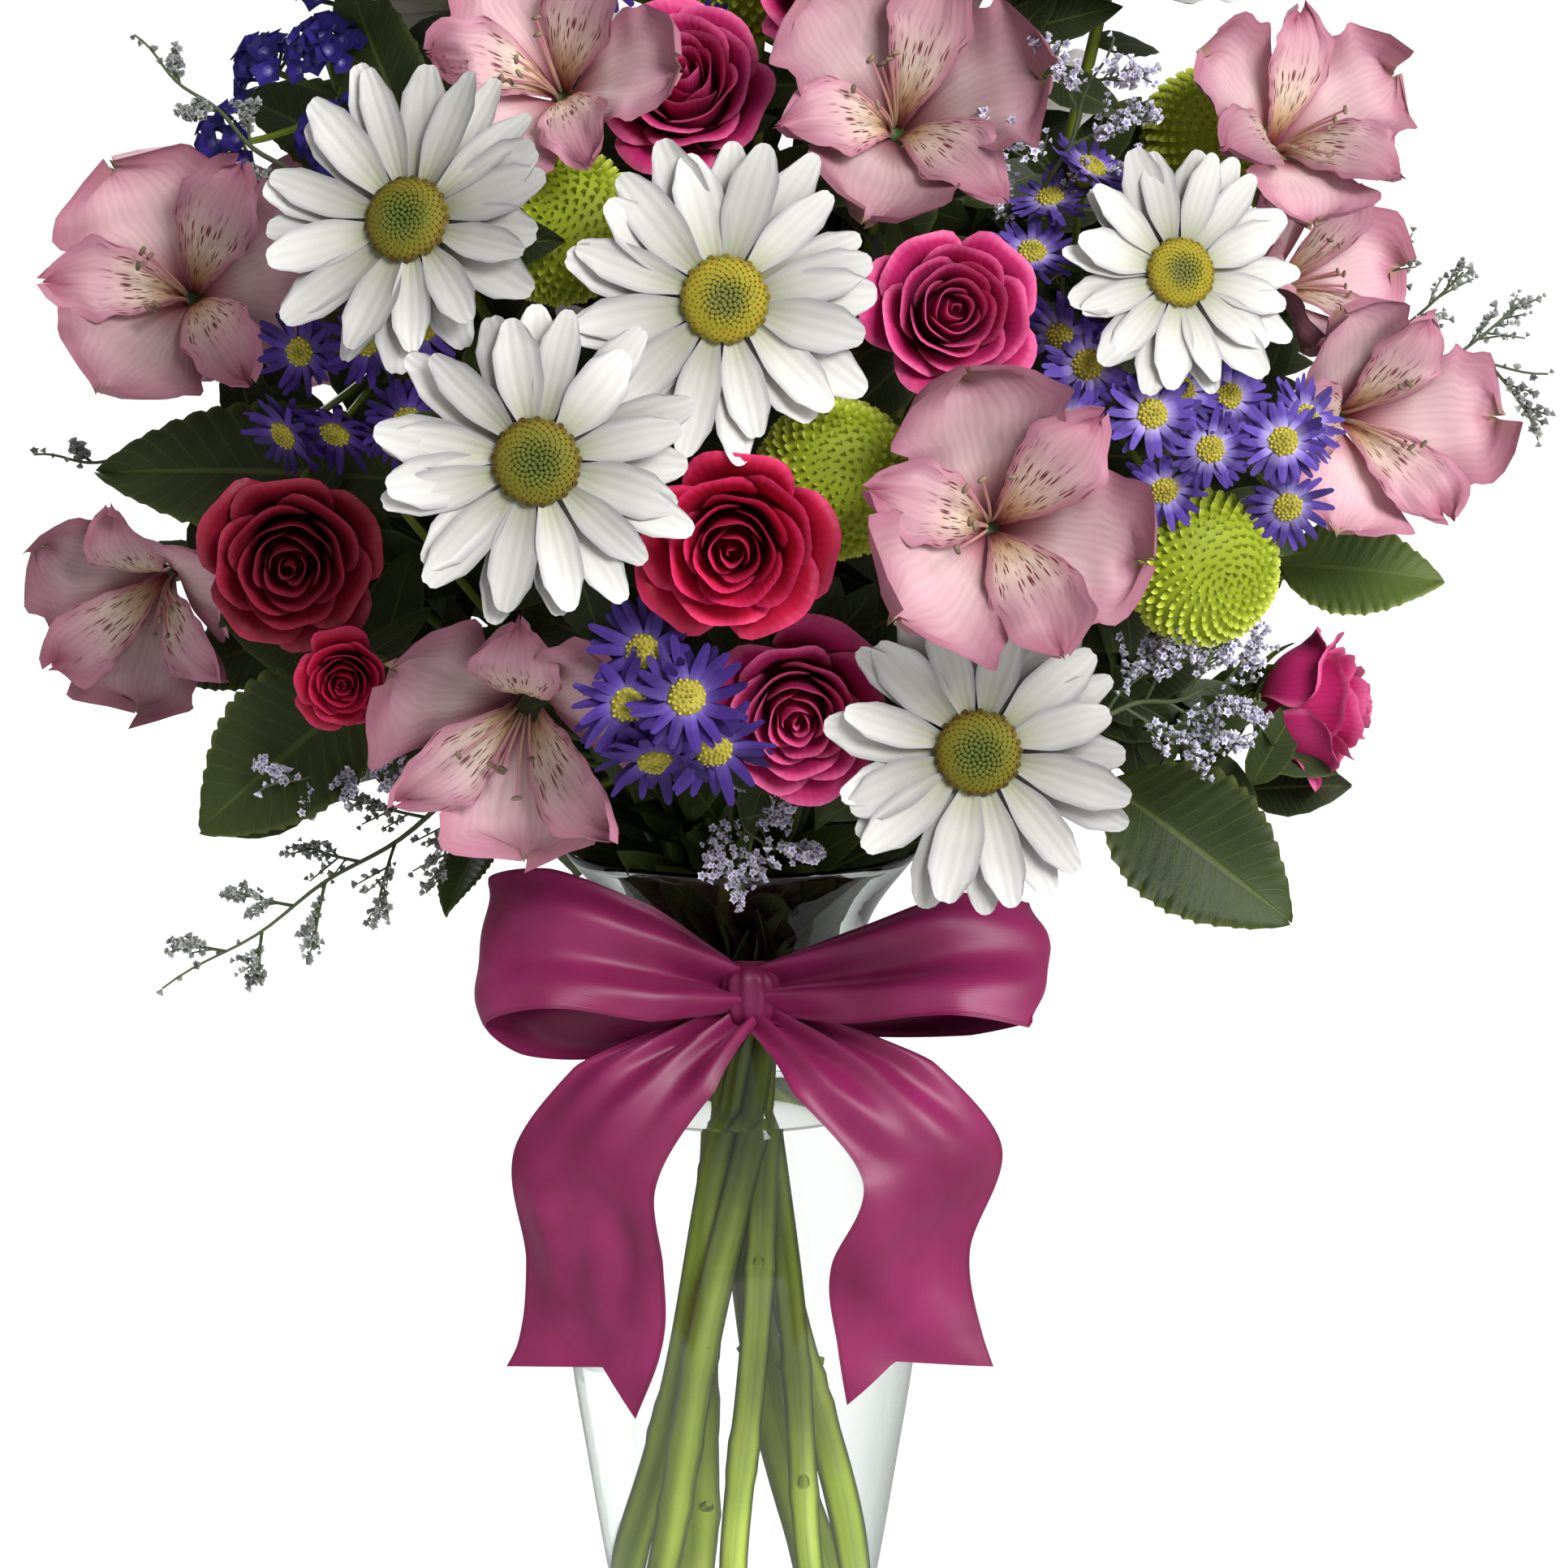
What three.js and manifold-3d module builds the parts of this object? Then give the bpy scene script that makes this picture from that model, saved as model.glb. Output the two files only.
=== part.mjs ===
// A mixed flower bouquet standing in a clear glass vase, with a ribbon bow tied round the vase's neck.
// Millimetres, +Z up, the origin at the centre of the vase's foot, and the bouquet's front towards -Y.
// Stems stand in the water, fan out above the rim, and carry each bloom on a swollen end.
import * as THREE from "three";
import { mergeVertices } from "three/addons/utils/BufferGeometryUtils.js";
import Module from "manifold-3d";

const wasm = await Module();
wasm.setup();

// Vase: outer radii at heights, from the foot to the lip
const FOOT_RADIUS = 28;
const BELLY_RADIUS = 42.5;
const NECK_RADIUS = 27;
const NECK_HEIGHT = 163;
const LIP_RADIUS = 43;
const VASE_HEIGHT = 196;
const GLASS = 2.6;
const BASE_THICKNESS = 9;
const VASE_SIDES = 22;
const WATER_LEVEL = 132;

// Flower dome: half widths across, front to back and up, round its middle
const DOME = { across: 150, deep: 102, tall: 116, middle: new THREE.Vector3(4, 0, 290) };
const AXIS_SHARE = 0.8; // how far blooms turn from the dome's own direction to the viewer's

// The front view that places are given in: its eye, and the point of the vase's axis plane it looks at
const AIM = new THREE.Vector3(10, 0, 210);
const EYE_DISTANCE = 1400;
const EYE_LIFT = THREE.MathUtils.degToRad(10);

// Blooms: radius of each kind, how far its seat lies behind its middle, how deep a stem at the back sinks into it,
// and how wide a stem's end is under it
const DAISY_RADIUS = 37;
const ROSE_RADIUS = 20;
const LILY_RADIUS = 34;
const BUTTON_RADIUS = 17.5;
const ASTER_RADIUS = 9.5;
const ASTER_SPACING = 11;
const SEAT = { daisy: 0.55, rose: 16, lily: 21.5, button: 12.25, asters: 26 };
const SINK = { daisy: 0.4, rose: 2, lily: 0.5, button: 2, asters: 1 };
const CUP_RADIUS = { daisy: 6.5, rose: 5.5, lily: 3.6, button: 5.2, asters: 1.6 };
const PETAL = 0.8; // thickness of petals and leaves
const DAISY_PETALS = 16;
const EYE_SIDES = 8;
const ROSE_SIDES = 10;
const BUTTON_SIDES = 12;
const ASTER_PETALS = 7;
const GOLDEN_ANGLE = THREE.MathUtils.degToRad(137.508);

// Ribbon: the band round the neck, the knot on it, and the steps in which a loop and a tail are drawn
const BAND_HEIGHT = 13;
const BAND_THICKNESS = 1.8;
const KNOT_RADIUS = 7.5;
const RIBBON = 0.8;
const LOOP_STEPS = 9;
const TAIL_STEPS = 7;
const NOTCH = 13; // how far the cut at a tail's end goes up

// Clearances: between nodes, and the steps by which a piece is moved clear of those before it
const GAP = 0.45;
const CLEAR_STEP = 2;
const CLEAR_STEPS = 16;

const FRONT = -1;
const BACK = 1;

const COLOURS = {
  glass: [0xdfeeea, 0.05, 0], water: [0xcfe3dc, 0.05, 0], ribbon: [0x9c2a6a, 0.55, 0],
  stem: [0x5f7a2b, 0.6, 0], white_petal: [0xeceae6, 0.6, 0], daisy_eye: [0xa3a63a, 0.8, 0],
  rose: [0xc02368, 0.55, 0], crimson_rose: [0x9a1838, 0.55, 0], pink_petal: [0xd9a0ad, 0.55, 0],
  lime: [0x9cb83a, 0.8, 0], violet: [0x5a4bb8, 0.6, 0], deep_blue: [0x2f2a72, 0.6, 0],
  misty: [0xb9b4c6, 0.8, 0],
};

// Each bloom: name, kind, place in the front view (mm across from the axis, mm up), then what is its own
const BLOOMS = [
  { name: "button_mum_left", kind: "button", across: -42, up: 342, inner: 12 },
  { name: "button_mum_upper_right", kind: "button", across: 109, up: 361, inner: 30 },
  { name: "button_mum_right", kind: "button", across: 108, up: 262, inner: 8 },
  { name: "button_mum_centre", kind: "button", across: 22, up: 283, inner: 16 },
  { name: "button_mum_top", kind: "button", across: 4, up: 401, inner: 2 },
  { name: "rose_top_left", kind: "rose", across: -13, up: 375, roll: 20 },
  { name: "rose_right", kind: "rose", across: 49, up: 322, size: 0.98, roll: 80 },
  { name: "rose_centre", kind: "rose", across: -2, up: 267, size: 1.08, roll: 130, colour: "crimson_rose" },
  { name: "rose_low", kind: "rose", across: 13, up: 227, roll: 200, lean: [0, 8] },
  { name: "rose_left", kind: "rose", across: -106, up: 264, size: 1.05, roll: 60, colour: "crimson_rose", lean: [22, 0] },
  { name: "rose_bud_left", kind: "rose", across: -94, up: 235, size: 0.56, colour: "crimson_rose", lean: [18, 8] },
  { name: "rose_far_right", kind: "rose", across: 137, up: 229, size: 0.95, roll: 40, lean: [44, 26] },
  { name: "rose_top", kind: "rose", across: 22, up: 398, size: 0.92, roll: 10 },
  { name: "lily_side_right", kind: "lily", across: 133, up: 331, size: 0.72, inner: 34 },
  { name: "lily_left", kind: "lily", across: -130, up: 329, lean: [34, 0] },
  { name: "lily_far_left", kind: "lily", across: -141, up: 254, size: 0.86, lean: [26, 0], roll: 30 },
  { name: "lily_low_left", kind: "lily", across: -54, up: 223, roll: 25 },
  { name: "lily_right", kind: "lily", across: 62, up: 272, size: 1.05, roll: -15, lean: [0, 10] },
  { name: "lily_top", kind: "lily", across: 38, up: 370, roll: 10 },
  { name: "lily_top_left", kind: "lily", across: -44, up: 378, size: 0.9, inner: 8 },
  { name: "lily_upper_right", kind: "lily", across: 129, up: 366, size: 0.86, roll: 20, lean: [-8, 0] },
  { name: "lily_far_right", kind: "lily", across: 148, up: 297, size: 0.92, lean: [-12, 0] },
  { name: "aster_left", kind: "asters", across: -92, up: 311, heads: 5, inner: 4 },
  { name: "aster_low", kind: "asters", across: -17, up: 227, heads: 3, spread: 0.8, inner: -4 },
  { name: "aster_upper_right", kind: "asters", across: 82, up: 334, heads: 4 },
  { name: "aster_right", kind: "asters", across: 91, up: 294, heads: 4, inner: -2 },
  { name: "aster_far_right", kind: "asters", across: 123, up: 288, heads: 3, spread: 0.9 },
  { name: "aster_top", kind: "asters", across: -19, up: 401, heads: 3, inner: 4 },
  { name: "statice_upper_left", kind: "asters", across: -104, up: 382, heads: 5, spread: 1.15, colour: "deep_blue" },
  { name: "daisy_top_left", kind: "daisy", across: -65, up: 405, lean: [0, 24] },
  { name: "daisy_top_right", kind: "daisy", across: 86, up: 405, lean: [0, 24] },
  { name: "daisy_upper_left", kind: "daisy", across: -77, up: 343, lean: [-8, 6] },
  { name: "daisy_right", kind: "daisy", across: 102, up: 331, size: 0.8 },
  { name: "daisy_centre_left", kind: "daisy", across: -48, up: 287, lean: [6, 0] },
  { name: "daisy_centre", kind: "daisy", across: -4, up: 325, lean: [6, -6] },
  { name: "daisy_low_right", kind: "daisy", across: 56, up: 218, lean: [-8, 14] },
];

// Sprays at the back: several heads of a kind on one forked stem
const BACK_SPRAYS = [
  { name: "buttons_back", kind: "button", heads: [[-38, 236], [66, 294]] },
  { name: "roses_back", kind: "rose", heads: [[-18, 344], [98, 250]] },
  { name: "lilies_back", kind: "lily", heads: [[30, 398], [-112, 322], [20, 232]] },
  { name: "asters_back", kind: "asters", heads: [[12, 296]], florets: 5 },
  { name: "daisies_back", kind: "daisy", heads: [[-62, 292], [62, 352], [-62, 392]] },
];

// Misty sprays: a root, a tip and how many side twigs, in the front view with a depth
const SPRAYS = [
  { name: "misty_top_right", from: [62, 330, -60], to: [86, 386, -92], twigs: 6, reach: 26 },
  { name: "misty_upper_left", from: [-100, 350, -20], to: [-141, 386, -24], twigs: 4, reach: 12 },
  { name: "misty_side_left", from: [-118, 288, 4], to: [-166, 288, 0], twigs: 4, reach: 9 },
  { name: "misty_low_left", from: [-58, 214, -40], to: [-138, 160, -40], twigs: 8, reach: 22 },
  { name: "misty_low", from: [-8, 216, -48], to: [8, 190, -72], twigs: 5, reach: 20 },
  { name: "misty_right", from: [80, 226, -62], to: [122, 236, -70], twigs: 7, reach: 24 },
  { name: "misty_far_right", from: [124, 318, 8], to: [189, 308, 6], twigs: 6, reach: 34 },
];

// Leaves: foot and tip in the front view with a depth, width, and which way the upper face looks
const LEAVES = [
  { foot: [-76, 282, -56], tip: [-150, 284, -30], width: 32, up: [-0.2, -0.8, 0.5] },
  { foot: [-84, 236, -44], tip: [-128, 199, -40], width: 34, up: [-0.4, -0.9, 0.1] },
  { foot: [86, 210, -36], tip: [130, 177, -46], width: 34, up: [0.1, -0.9, 0.3] },
  { foot: [126, 262, -10], tip: [165, 258, -14], width: 24, up: [0.1, -0.8, 0.5] },
  { foot: [-58, 200, -22], tip: [-70, 178, -34], width: 15, up: [-0.7, -0.7, 0] },
  { foot: [-98, 246, -20], tip: [-134, 236, -10], width: 22, up: [-0.3, -0.8, 0.5] },
  { foot: [-70, 350, -20], tip: [-92, 404, -10], width: 24, up: [-0.6, -0.5, 0.6] },
  { foot: [-70, 214, 30], tip: [-118, 198, 62], width: 34, up: [-0.4, 0.2, 0.9] },
  { foot: [-26, 206, 50], tip: [-40, 188, 104], width: 36, up: [-0.1, 0.5, 0.8] },
  { foot: [34, 212, 50], tip: [58, 192, 106], width: 36, up: [0.2, 0.5, 0.8] },
  { foot: [76, 214, 20], tip: [128, 204, 44], width: 34, up: [0.4, 0.2, 0.9] },
  { foot: [0, 262, 84], tip: [-14, 300, 116], width: 30, up: [-0.2, 1, 0.1] },
  { foot: [92, 292, 48], tip: [132, 300, 74], width: 30, up: [0.6, 0.8, 0.2] },
  { foot: [-76, 350, 52], tip: [-116, 372, 66], width: 28, up: [-0.5, 0.7, 0.5] },
];

// Main stems: a spiral that stands on the vase's floor, is narrowest in its neck and opens again above the lip
const MAIN_STEMS = 7;
const MAIN_RADIUS = 4.4;
const MAIN_SIDES = 5;
const FLOOR_RING = 21.5;
const NECK_RING = 8.3;
const CROWN_RING = 24;
const CROWN_HEIGHT = 218;
const SPIRAL = THREE.MathUtils.degToRad(125); // how far a stem turns about the axis from the floor to the neck
const STEM_FOOT = BASE_THICKNESS + 2;
const TWIG_RADIUS = 1.5;

const vec = (x, y, z) => new THREE.Vector3(x, y, z);
const polar = (radius, angle, height) => vec(radius * Math.cos(angle), radius * Math.sin(angle), height);

// Solids

function toSolid(geometry) {
  const bare = geometry.clone();
  bare.deleteAttribute("normal");
  bare.deleteAttribute("uv");
  const merged = mergeVertices(bare, 1e-3);
  const triVerts = new Uint32Array(merged.index.array);
  const mesh = () => new wasm.Mesh({ numProp: 3, vertProperties: merged.attributes.position.array, triVerts });
  const solid = new wasm.Manifold(mesh());
  if (solid.volume() > 0) return solid;
  for (let i = 0; i < triVerts.length; i += 3) {
    [triVerts[i + 1], triVerts[i + 2]] = [triVerts[i + 2], triVerts[i + 1]];
  }
  return new wasm.Manifold(mesh());
}

function toGeometry(solid) {
  const mesh = solid.getMesh();
  const geometry = new THREE.BufferGeometry();
  geometry.setAttribute("position", new THREE.BufferAttribute(new Float32Array(mesh.vertProperties), 3));
  geometry.setIndex(new THREE.BufferAttribute(new Uint32Array(mesh.triVerts), 1));
  return geometry;
}

const join = (solids) => solids.reduce((all, one) => all.add(one));
const moved = (solid, matrix) => solid.transform(matrix.elements);
const largest = (solid) => solid.decompose().sort((a, b) => b.volume() - a.volume())[0];

// The same solid with its skin moved out by a distance, for cutting a neighbour with a gap
function swollen(solid, by) {
  const geometry = toGeometry(solid);
  geometry.computeVertexNormals();
  const { position, normal } = geometry.attributes;
  const point = new THREE.Vector3();
  const out = new THREE.Vector3();
  for (let i = 0; i < position.count; i++) {
    point.fromBufferAttribute(position, i).addScaledVector(out.fromBufferAttribute(normal, i), by);
    position.setXYZ(i, point.x, point.y, point.z);
  }
  return toSolid(geometry);
}

const boxesMeet = (a, b, reach = 1) => {
  const [p, q] = [a.boundingBox(), b.boundingBox()];
  return [0, 1, 2].every((k) => p.min[k] - reach < q.max[k] && q.min[k] - reach < p.max[k]);
};
const touches = (a, b) => boxesMeet(a, b) && a.minGap(b, 1) < GAP;
const steps = (by) => Array.from({ length: CLEAR_STEPS + 1 }, (_, i) => by * i);
const pairs = (firsts, seconds) => firsts.flatMap((first) => seconds.map((second) => [first, second]));
// One solid with its neighbour cut out of it, a gap wider than the neighbour, where the two meet
const cutClear = (solid, other) =>
  touches(solid, other) ? largest(solid.subtract(other).subtract(swollen(other, GAP))) : solid;

// Sheets and stalks

// A sheet of points and triangles becomes a closed blade. Both faces move off along the normals, in opposite
// ways. With a rim they do so everywhere and a wall joins their outlines; without one they meet in a sharp outline
function blade(points, triangles, thickness, rim = false) {
  const sheet = new THREE.BufferGeometry().setFromPoints(points);
  sheet.setIndex(triangles.flat());
  sheet.computeVertexNormals();
  const edges = new Set(triangles.flatMap(([a, b, c]) => [`${a},${b}`, `${b},${c}`, `${c},${a}`]));
  const outline = [...edges]
    .map((edge) => edge.split(",").map(Number))
    .filter(([a, b]) => !edges.has(`${b},${a}`));
  const sharp = new Set(rim ? [] : outline.flat());
  const under = points.length;
  const faces = [1, -1].map((side) =>
    points.map((point, i) => {
      const normal = new THREE.Vector3().fromBufferAttribute(sheet.attributes.normal, i);
      return point.clone().addScaledVector(normal, sharp.has(i) ? 0 : (side * thickness) / 2);
    }),
  );
  const all = triangles.flatMap(([a, b, c]) => [[a, b, c], [c + under, b + under, a + under]]);
  if (rim) for (const [a, b] of outline) all.push([b, a, a + under], [b, a + under, b + under]);
  const geometry = new THREE.BufferGeometry().setFromPoints(faces.flat());
  geometry.setIndex(all.flat());
  return toSolid(geometry);
}

// A strip of cells: rows along its length, each with the same number of points across
function strip(rows, thickness = PETAL, rim = false) {
  const wide = rows[0].length;
  const triangles = [];
  for (let r = 0; r + 1 < rows.length; r++) {
    for (let c = 0; c + 1 < wide; c++) {
      const [a, b, d, e] = [r * wide + c, r * wide + c + 1, (r + 1) * wide + c, (r + 1) * wide + c + 1];
      triangles.push([a, b, e], [a, e, d]);
    }
  }
  return blade(rows.flat(), triangles, thickness, rim);
}

// A solid stalk through points, with a radius at each, closed at both ends
function stalk(points, radii, sides = 3) {
  const skin = [];
  const triangles = [];
  points.forEach((point, i) => {
    const along = points[Math.min(i + 1, points.length - 1)].clone().sub(points[Math.max(i - 1, 0)]).normalize();
    const across = vec(0.31, 0.17, 0.94).cross(along).normalize();
    const other = along.clone().cross(across);
    for (let k = 0; k < sides; k++) {
      const turn = (2 * Math.PI * k) / sides;
      const rim = across.clone().multiplyScalar(Math.cos(turn)).addScaledVector(other, Math.sin(turn));
      skin.push(point.clone().addScaledVector(rim, radii[i]));
    }
  });
  for (let i = 0; i + 1 < points.length; i++) {
    for (let k = 0; k < sides; k++) {
      const [a, b] = [i * sides + k, i * sides + ((k + 1) % sides)];
      triangles.push([a, b, b + sides], [a, b + sides, a + sides]);
    }
  }
  const last = (points.length - 1) * sides;
  for (let k = 1; k + 1 < sides; k++) triangles.push([0, k + 1, k], [last, last + k, last + k + 1]);
  const geometry = new THREE.BufferGeometry().setFromPoints(skin);
  geometry.setIndex(triangles.flat());
  return toSolid(geometry);
}

// A sheet cut into petals round a middle, which share their notches. Each petal is drawn over its own rib: the
// rib's points [radius, height] run outwards, each edge bends at its shoulders [radius, half width, height], one
// to a rib point, and the petal ends in a tip [radius, height]
function petalSheet(middle, notchRadius, notchHeight, petals, thickness = PETAL) {
  const points = [vec(0, 0, middle)];
  const triangles = [];
  const half = Math.PI / petals.length;
  const notches = petals.map((_, i) => points.push(polar(notchRadius, i * 2 * half - half, notchHeight)) - 1);
  petals.forEach(({ rib, shoulders, tip }, i) => {
    const out = polar(1, i * 2 * half, 0);
    const side = polar(1, i * 2 * half + Math.PI / 2, 0);
    const put = (radius, aside, height) =>
      points.push(out.clone().multiplyScalar(radius).addScaledVector(side, aside).setZ(height)) - 1;
    let [left, spine, right] = [notches[i], 0, notches[(i + 1) % petals.length]];
    rib.forEach(([radius, height], k) => {
      const next = put(radius, 0, height);
      triangles.push([spine, left, next], [spine, next, right]);
      spine = next;
      const [far, wide, edge] = shoulders[k];
      const [nextLeft, nextRight] = [put(far, -wide, edge), put(far, wide, edge)];
      triangles.push([spine, left, nextLeft], [spine, nextRight, right]);
      [left, right] = [nextLeft, nextRight];
    });
    const end = put(tip[0], 0, tip[1]);
    triangles.push([spine, left, end], [spine, end, right]);
  });
  return blade(points, triangles, thickness);
}

// A body turned from a profile of [radius, height], each point then shifted by a rule of its ring and angle
function turned(profile, sides, shift = () => [1, 0]) {
  const geometry = new THREE.LatheGeometry(profile.map(([r, z]) => new THREE.Vector2(r, z)), sides);
  const { position } = geometry.attributes;
  const rings = profile.length;
  for (let i = 0; i < position.count; i++) {
    const ring = i % rings;
    const step = Math.floor(i / rings) % sides;
    const [x, z, y] = [position.getX(i), position.getY(i), position.getZ(i)];
    const [scale, rise] = profile[ring][0] > 0 ? shift(ring, step) : [1, 0];
    position.setXYZ(i, x * scale, y * scale, z + rise);
  }
  return toSolid(geometry);
}

// Places

const eye = AIM.clone().add(vec(0, -EYE_DISTANCE * Math.cos(EYE_LIFT), EYE_DISTANCE * Math.sin(EYE_LIFT)));

// The point at a given depth that the front view shows at (across, up)
function seenAt(across, up, depth) {
  const onPlane = vec(across, 0, up);
  return onPlane.lerp(eye, depth / eye.y);
}

// The depth of the dome's skin at (across, up), less what lies further in
function domeDepth(across, up, side, inner = 0) {
  const room = 1 - ((across - DOME.middle.x) / DOME.across) ** 2 - ((up - DOME.middle.z) / DOME.tall) ** 2;
  return side * (DOME.deep * Math.sqrt(Math.max(room, 0.01)) - inner);
}

// Which way a bloom looks: between the dome's outward direction and straight to the front or back, then leaned
function facing(place, side, lean = [0, 0]) {
  const off = place.clone().sub(DOME.middle);
  const outward = vec(off.x / DOME.across ** 2, off.y / DOME.deep ** 2, off.z / DOME.tall ** 2).normalize();
  const look = outward.add(vec(0, AXIS_SHARE * side, 0)).normalize();
  const turn = Math.atan2(look.x, -look.y) + THREE.MathUtils.degToRad(lean[0]);
  const lift = Math.asin(look.z) + THREE.MathUtils.degToRad(lean[1]);
  return vec(Math.sin(turn) * Math.cos(lift), -Math.cos(turn) * Math.cos(lift), Math.sin(lift));
}

// The frame of a bloom: its middle, and its own +Z along the way it looks
function bloomFrame(place, look, roll = 0) {
  const right = vec(0, 0, 1).cross(look).normalize();
  const frame = new THREE.Matrix4().makeBasis(right, look.clone().cross(right), look).setPosition(place);
  return frame.multiply(new THREE.Matrix4().makeRotationZ(THREE.MathUtils.degToRad(roll)));
}

// Vase and water

const vaseOuter = [
  [FOOT_RADIUS, 0], [FOOT_RADIUS + 2, 5], [37, 43], [BELLY_RADIUS, 82], [BELLY_RADIUS - 0.5, 102], [36.5, 128],
  [29.5, 150], [NECK_RADIUS, NECK_HEIGHT], [31, 179], [LIP_RADIUS, VASE_HEIGHT],
];

const vaseInner = [
  [FOOT_RADIUS - 1, BASE_THICKNESS], [37 - GLASS, 43], [BELLY_RADIUS - GLASS, 82], [36.5 - GLASS, 128],
  [NECK_RADIUS - GLASS, NECK_HEIGHT], [31 - GLASS, 179], [LIP_RADIUS - GLASS, VASE_HEIGHT],
];

function radiusAt(profile, height) {
  const above = profile.findIndex(([, z]) => z >= height);
  const [[r0, z0], [r1, z1]] = [profile[above - 1], profile[above]];
  return r0 + ((r1 - r0) * (height - z0)) / (z1 - z0);
}

function makeVase() {
  return turned([[0, 0], ...vaseOuter, ...[...vaseInner].reverse(), [0, BASE_THICKNESS]], VASE_SIDES);
}

function makeWater() {
  const low = BASE_THICKNESS + GAP;
  const inside = (height) => [radiusAt(vaseInner, height) - GAP * 1.2, height];
  const heights = [low, ...vaseInner.map(([, z]) => z).filter((z) => z > low && z < WATER_LEVEL), WATER_LEVEL];
  const water = turned([[0, low], ...heights.map(inside), [0, WATER_LEVEL]], VASE_SIDES);
  return largest(water.subtract(mainStalks(2 * GAP)));
}

// Blooms, each with its middle at the origin and looking along +Z

function daisyPetals(size = 1) {
  const radius = DAISY_RADIUS * size;
  const petals = Array.from({ length: DAISY_PETALS }, (_, i) => {
    const upper = i % 2;
    const long = radius * (upper ? 0.94 : 1);
    const rise = (upper ? 1.6 : -0.4) * size;
    const shoulders = [[0.8 * long, 0.165 * long, 5 * size + rise]];
    return { rib: [[0.6 * long, 2.4 * size + rise]], shoulders, tip: [long, 5.8 * size + rise] };
  });
  return petalSheet(0, 0.27 * radius, 0.2, petals, 1.3 * PETAL);
}

function daisyEye(size = 1) {
  const radius = 0.235 * DAISY_RADIUS * size;
  const low = SEAT.daisy + GAP;
  const florets = (ring, step) => ((ring + step) % 2 ? [1.05, 0.5] : [0.95, -0.2]);
  const profile = [[0, low], [radius, low + 2.1], [0.6 * radius, low + 4.4], [0, low + 4.1]];
  return turned(profile, EYE_SIDES, (ring, step) => (ring > 1 ? florets(ring, step) : [1, 0]));
}

// A rose: rings of petals as ridges one inside another, each ridge waved into its own number of petals
function rose(size = 1) {
  const r = ROSE_RADIUS * size;
  const profile = [
    [0, -0.8 * r], [0.84 * r, -0.34 * r], [1.02 * r, 0.12 * r], [0.8 * r, 0.02 * r], [0.74 * r, 0.42 * r],
    [0.52 * r, 0.2 * r], [0.46 * r, 0.56 * r], [0.27 * r, 0.3 * r], [0.2 * r, 0.6 * r], [0, 0.38 * r],
  ];
  const wave = { 1: [5, 0.04, 0], 2: [5, 0.09, 0.09], 4: [4, 0.08, 0.08], 6: [3, 0.09, 0.07], 8: [2, 0.1, 0.04] };
  return turned(profile, ROSE_SIDES, (ring, step) => {
    if (!wave[ring]) return [1, 0];
    const [petals, width, height] = wave[ring];
    const swing = Math.cos((petals * step * 2 * Math.PI) / ROSE_SIDES + ring);
    return [1 + width * swing, height * r * swing];
  });
}

// A lily of the kind with three broad and three narrow petals round a funnel, and stamens that stand out of it
function lily(size = 1, anthers = 3) {
  const r = LILY_RADIUS * size;
  const broad = {
    rib: [[0.36 * r, -0.3 * r], [0.74 * r, -0.02 * r]],
    shoulders: [[0.52 * r, 0.33 * r, -0.04 * r], [0.86 * r, 0.43 * r, 0.18 * r]],
    tip: [r, 0.08 * r],
  };
  const narrow = {
    rib: [[0.5 * r, 0.02 * r]],
    shoulders: [[0.72 * r, 0.25 * r, 0.26 * r]],
    tip: [0.98 * r, 0.28 * r],
  };
  const petals = [broad, narrow, broad, narrow, broad, narrow];
  const funnel = petalSheet(-0.62 * r, 0.2 * r, -0.34 * r, petals, 1.4 * PETAL);
  const stamens = Array.from({ length: anthers }, (_, k) => {
    const turn = 1.1 + 2.1 * k;
    return stalk([polar(0.09 * r, turn, -0.48 * r), polar(0.24 * r, turn, 0.26 * r)], [0.8, 1.1]);
  });
  return join([funnel, ...stamens]);
}

// A button chrysanthemum: a low ball whose skin is short petals, raised and sunk by turns
function button(size = 1) {
  const r = BUTTON_RADIUS * size;
  const shares = [[0, -0.7], [0.55, -0.66], [0.92, -0.25], [1, 0.15], [0.86, 0.5], [0.5, 0.72], [0, 0.74]];
  const profile = shares.map(([across, up]) => [across * r, up * r]);
  const bump = (ring, step) => ((ring + step) % 2 ? [1.07, 0.06 * r] : [0.93, -0.04 * r]);
  return turned(profile, BUTTON_SIDES, (ring, step) => (ring > 1 ? bump(ring, step) : [1, 0]));
}

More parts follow.
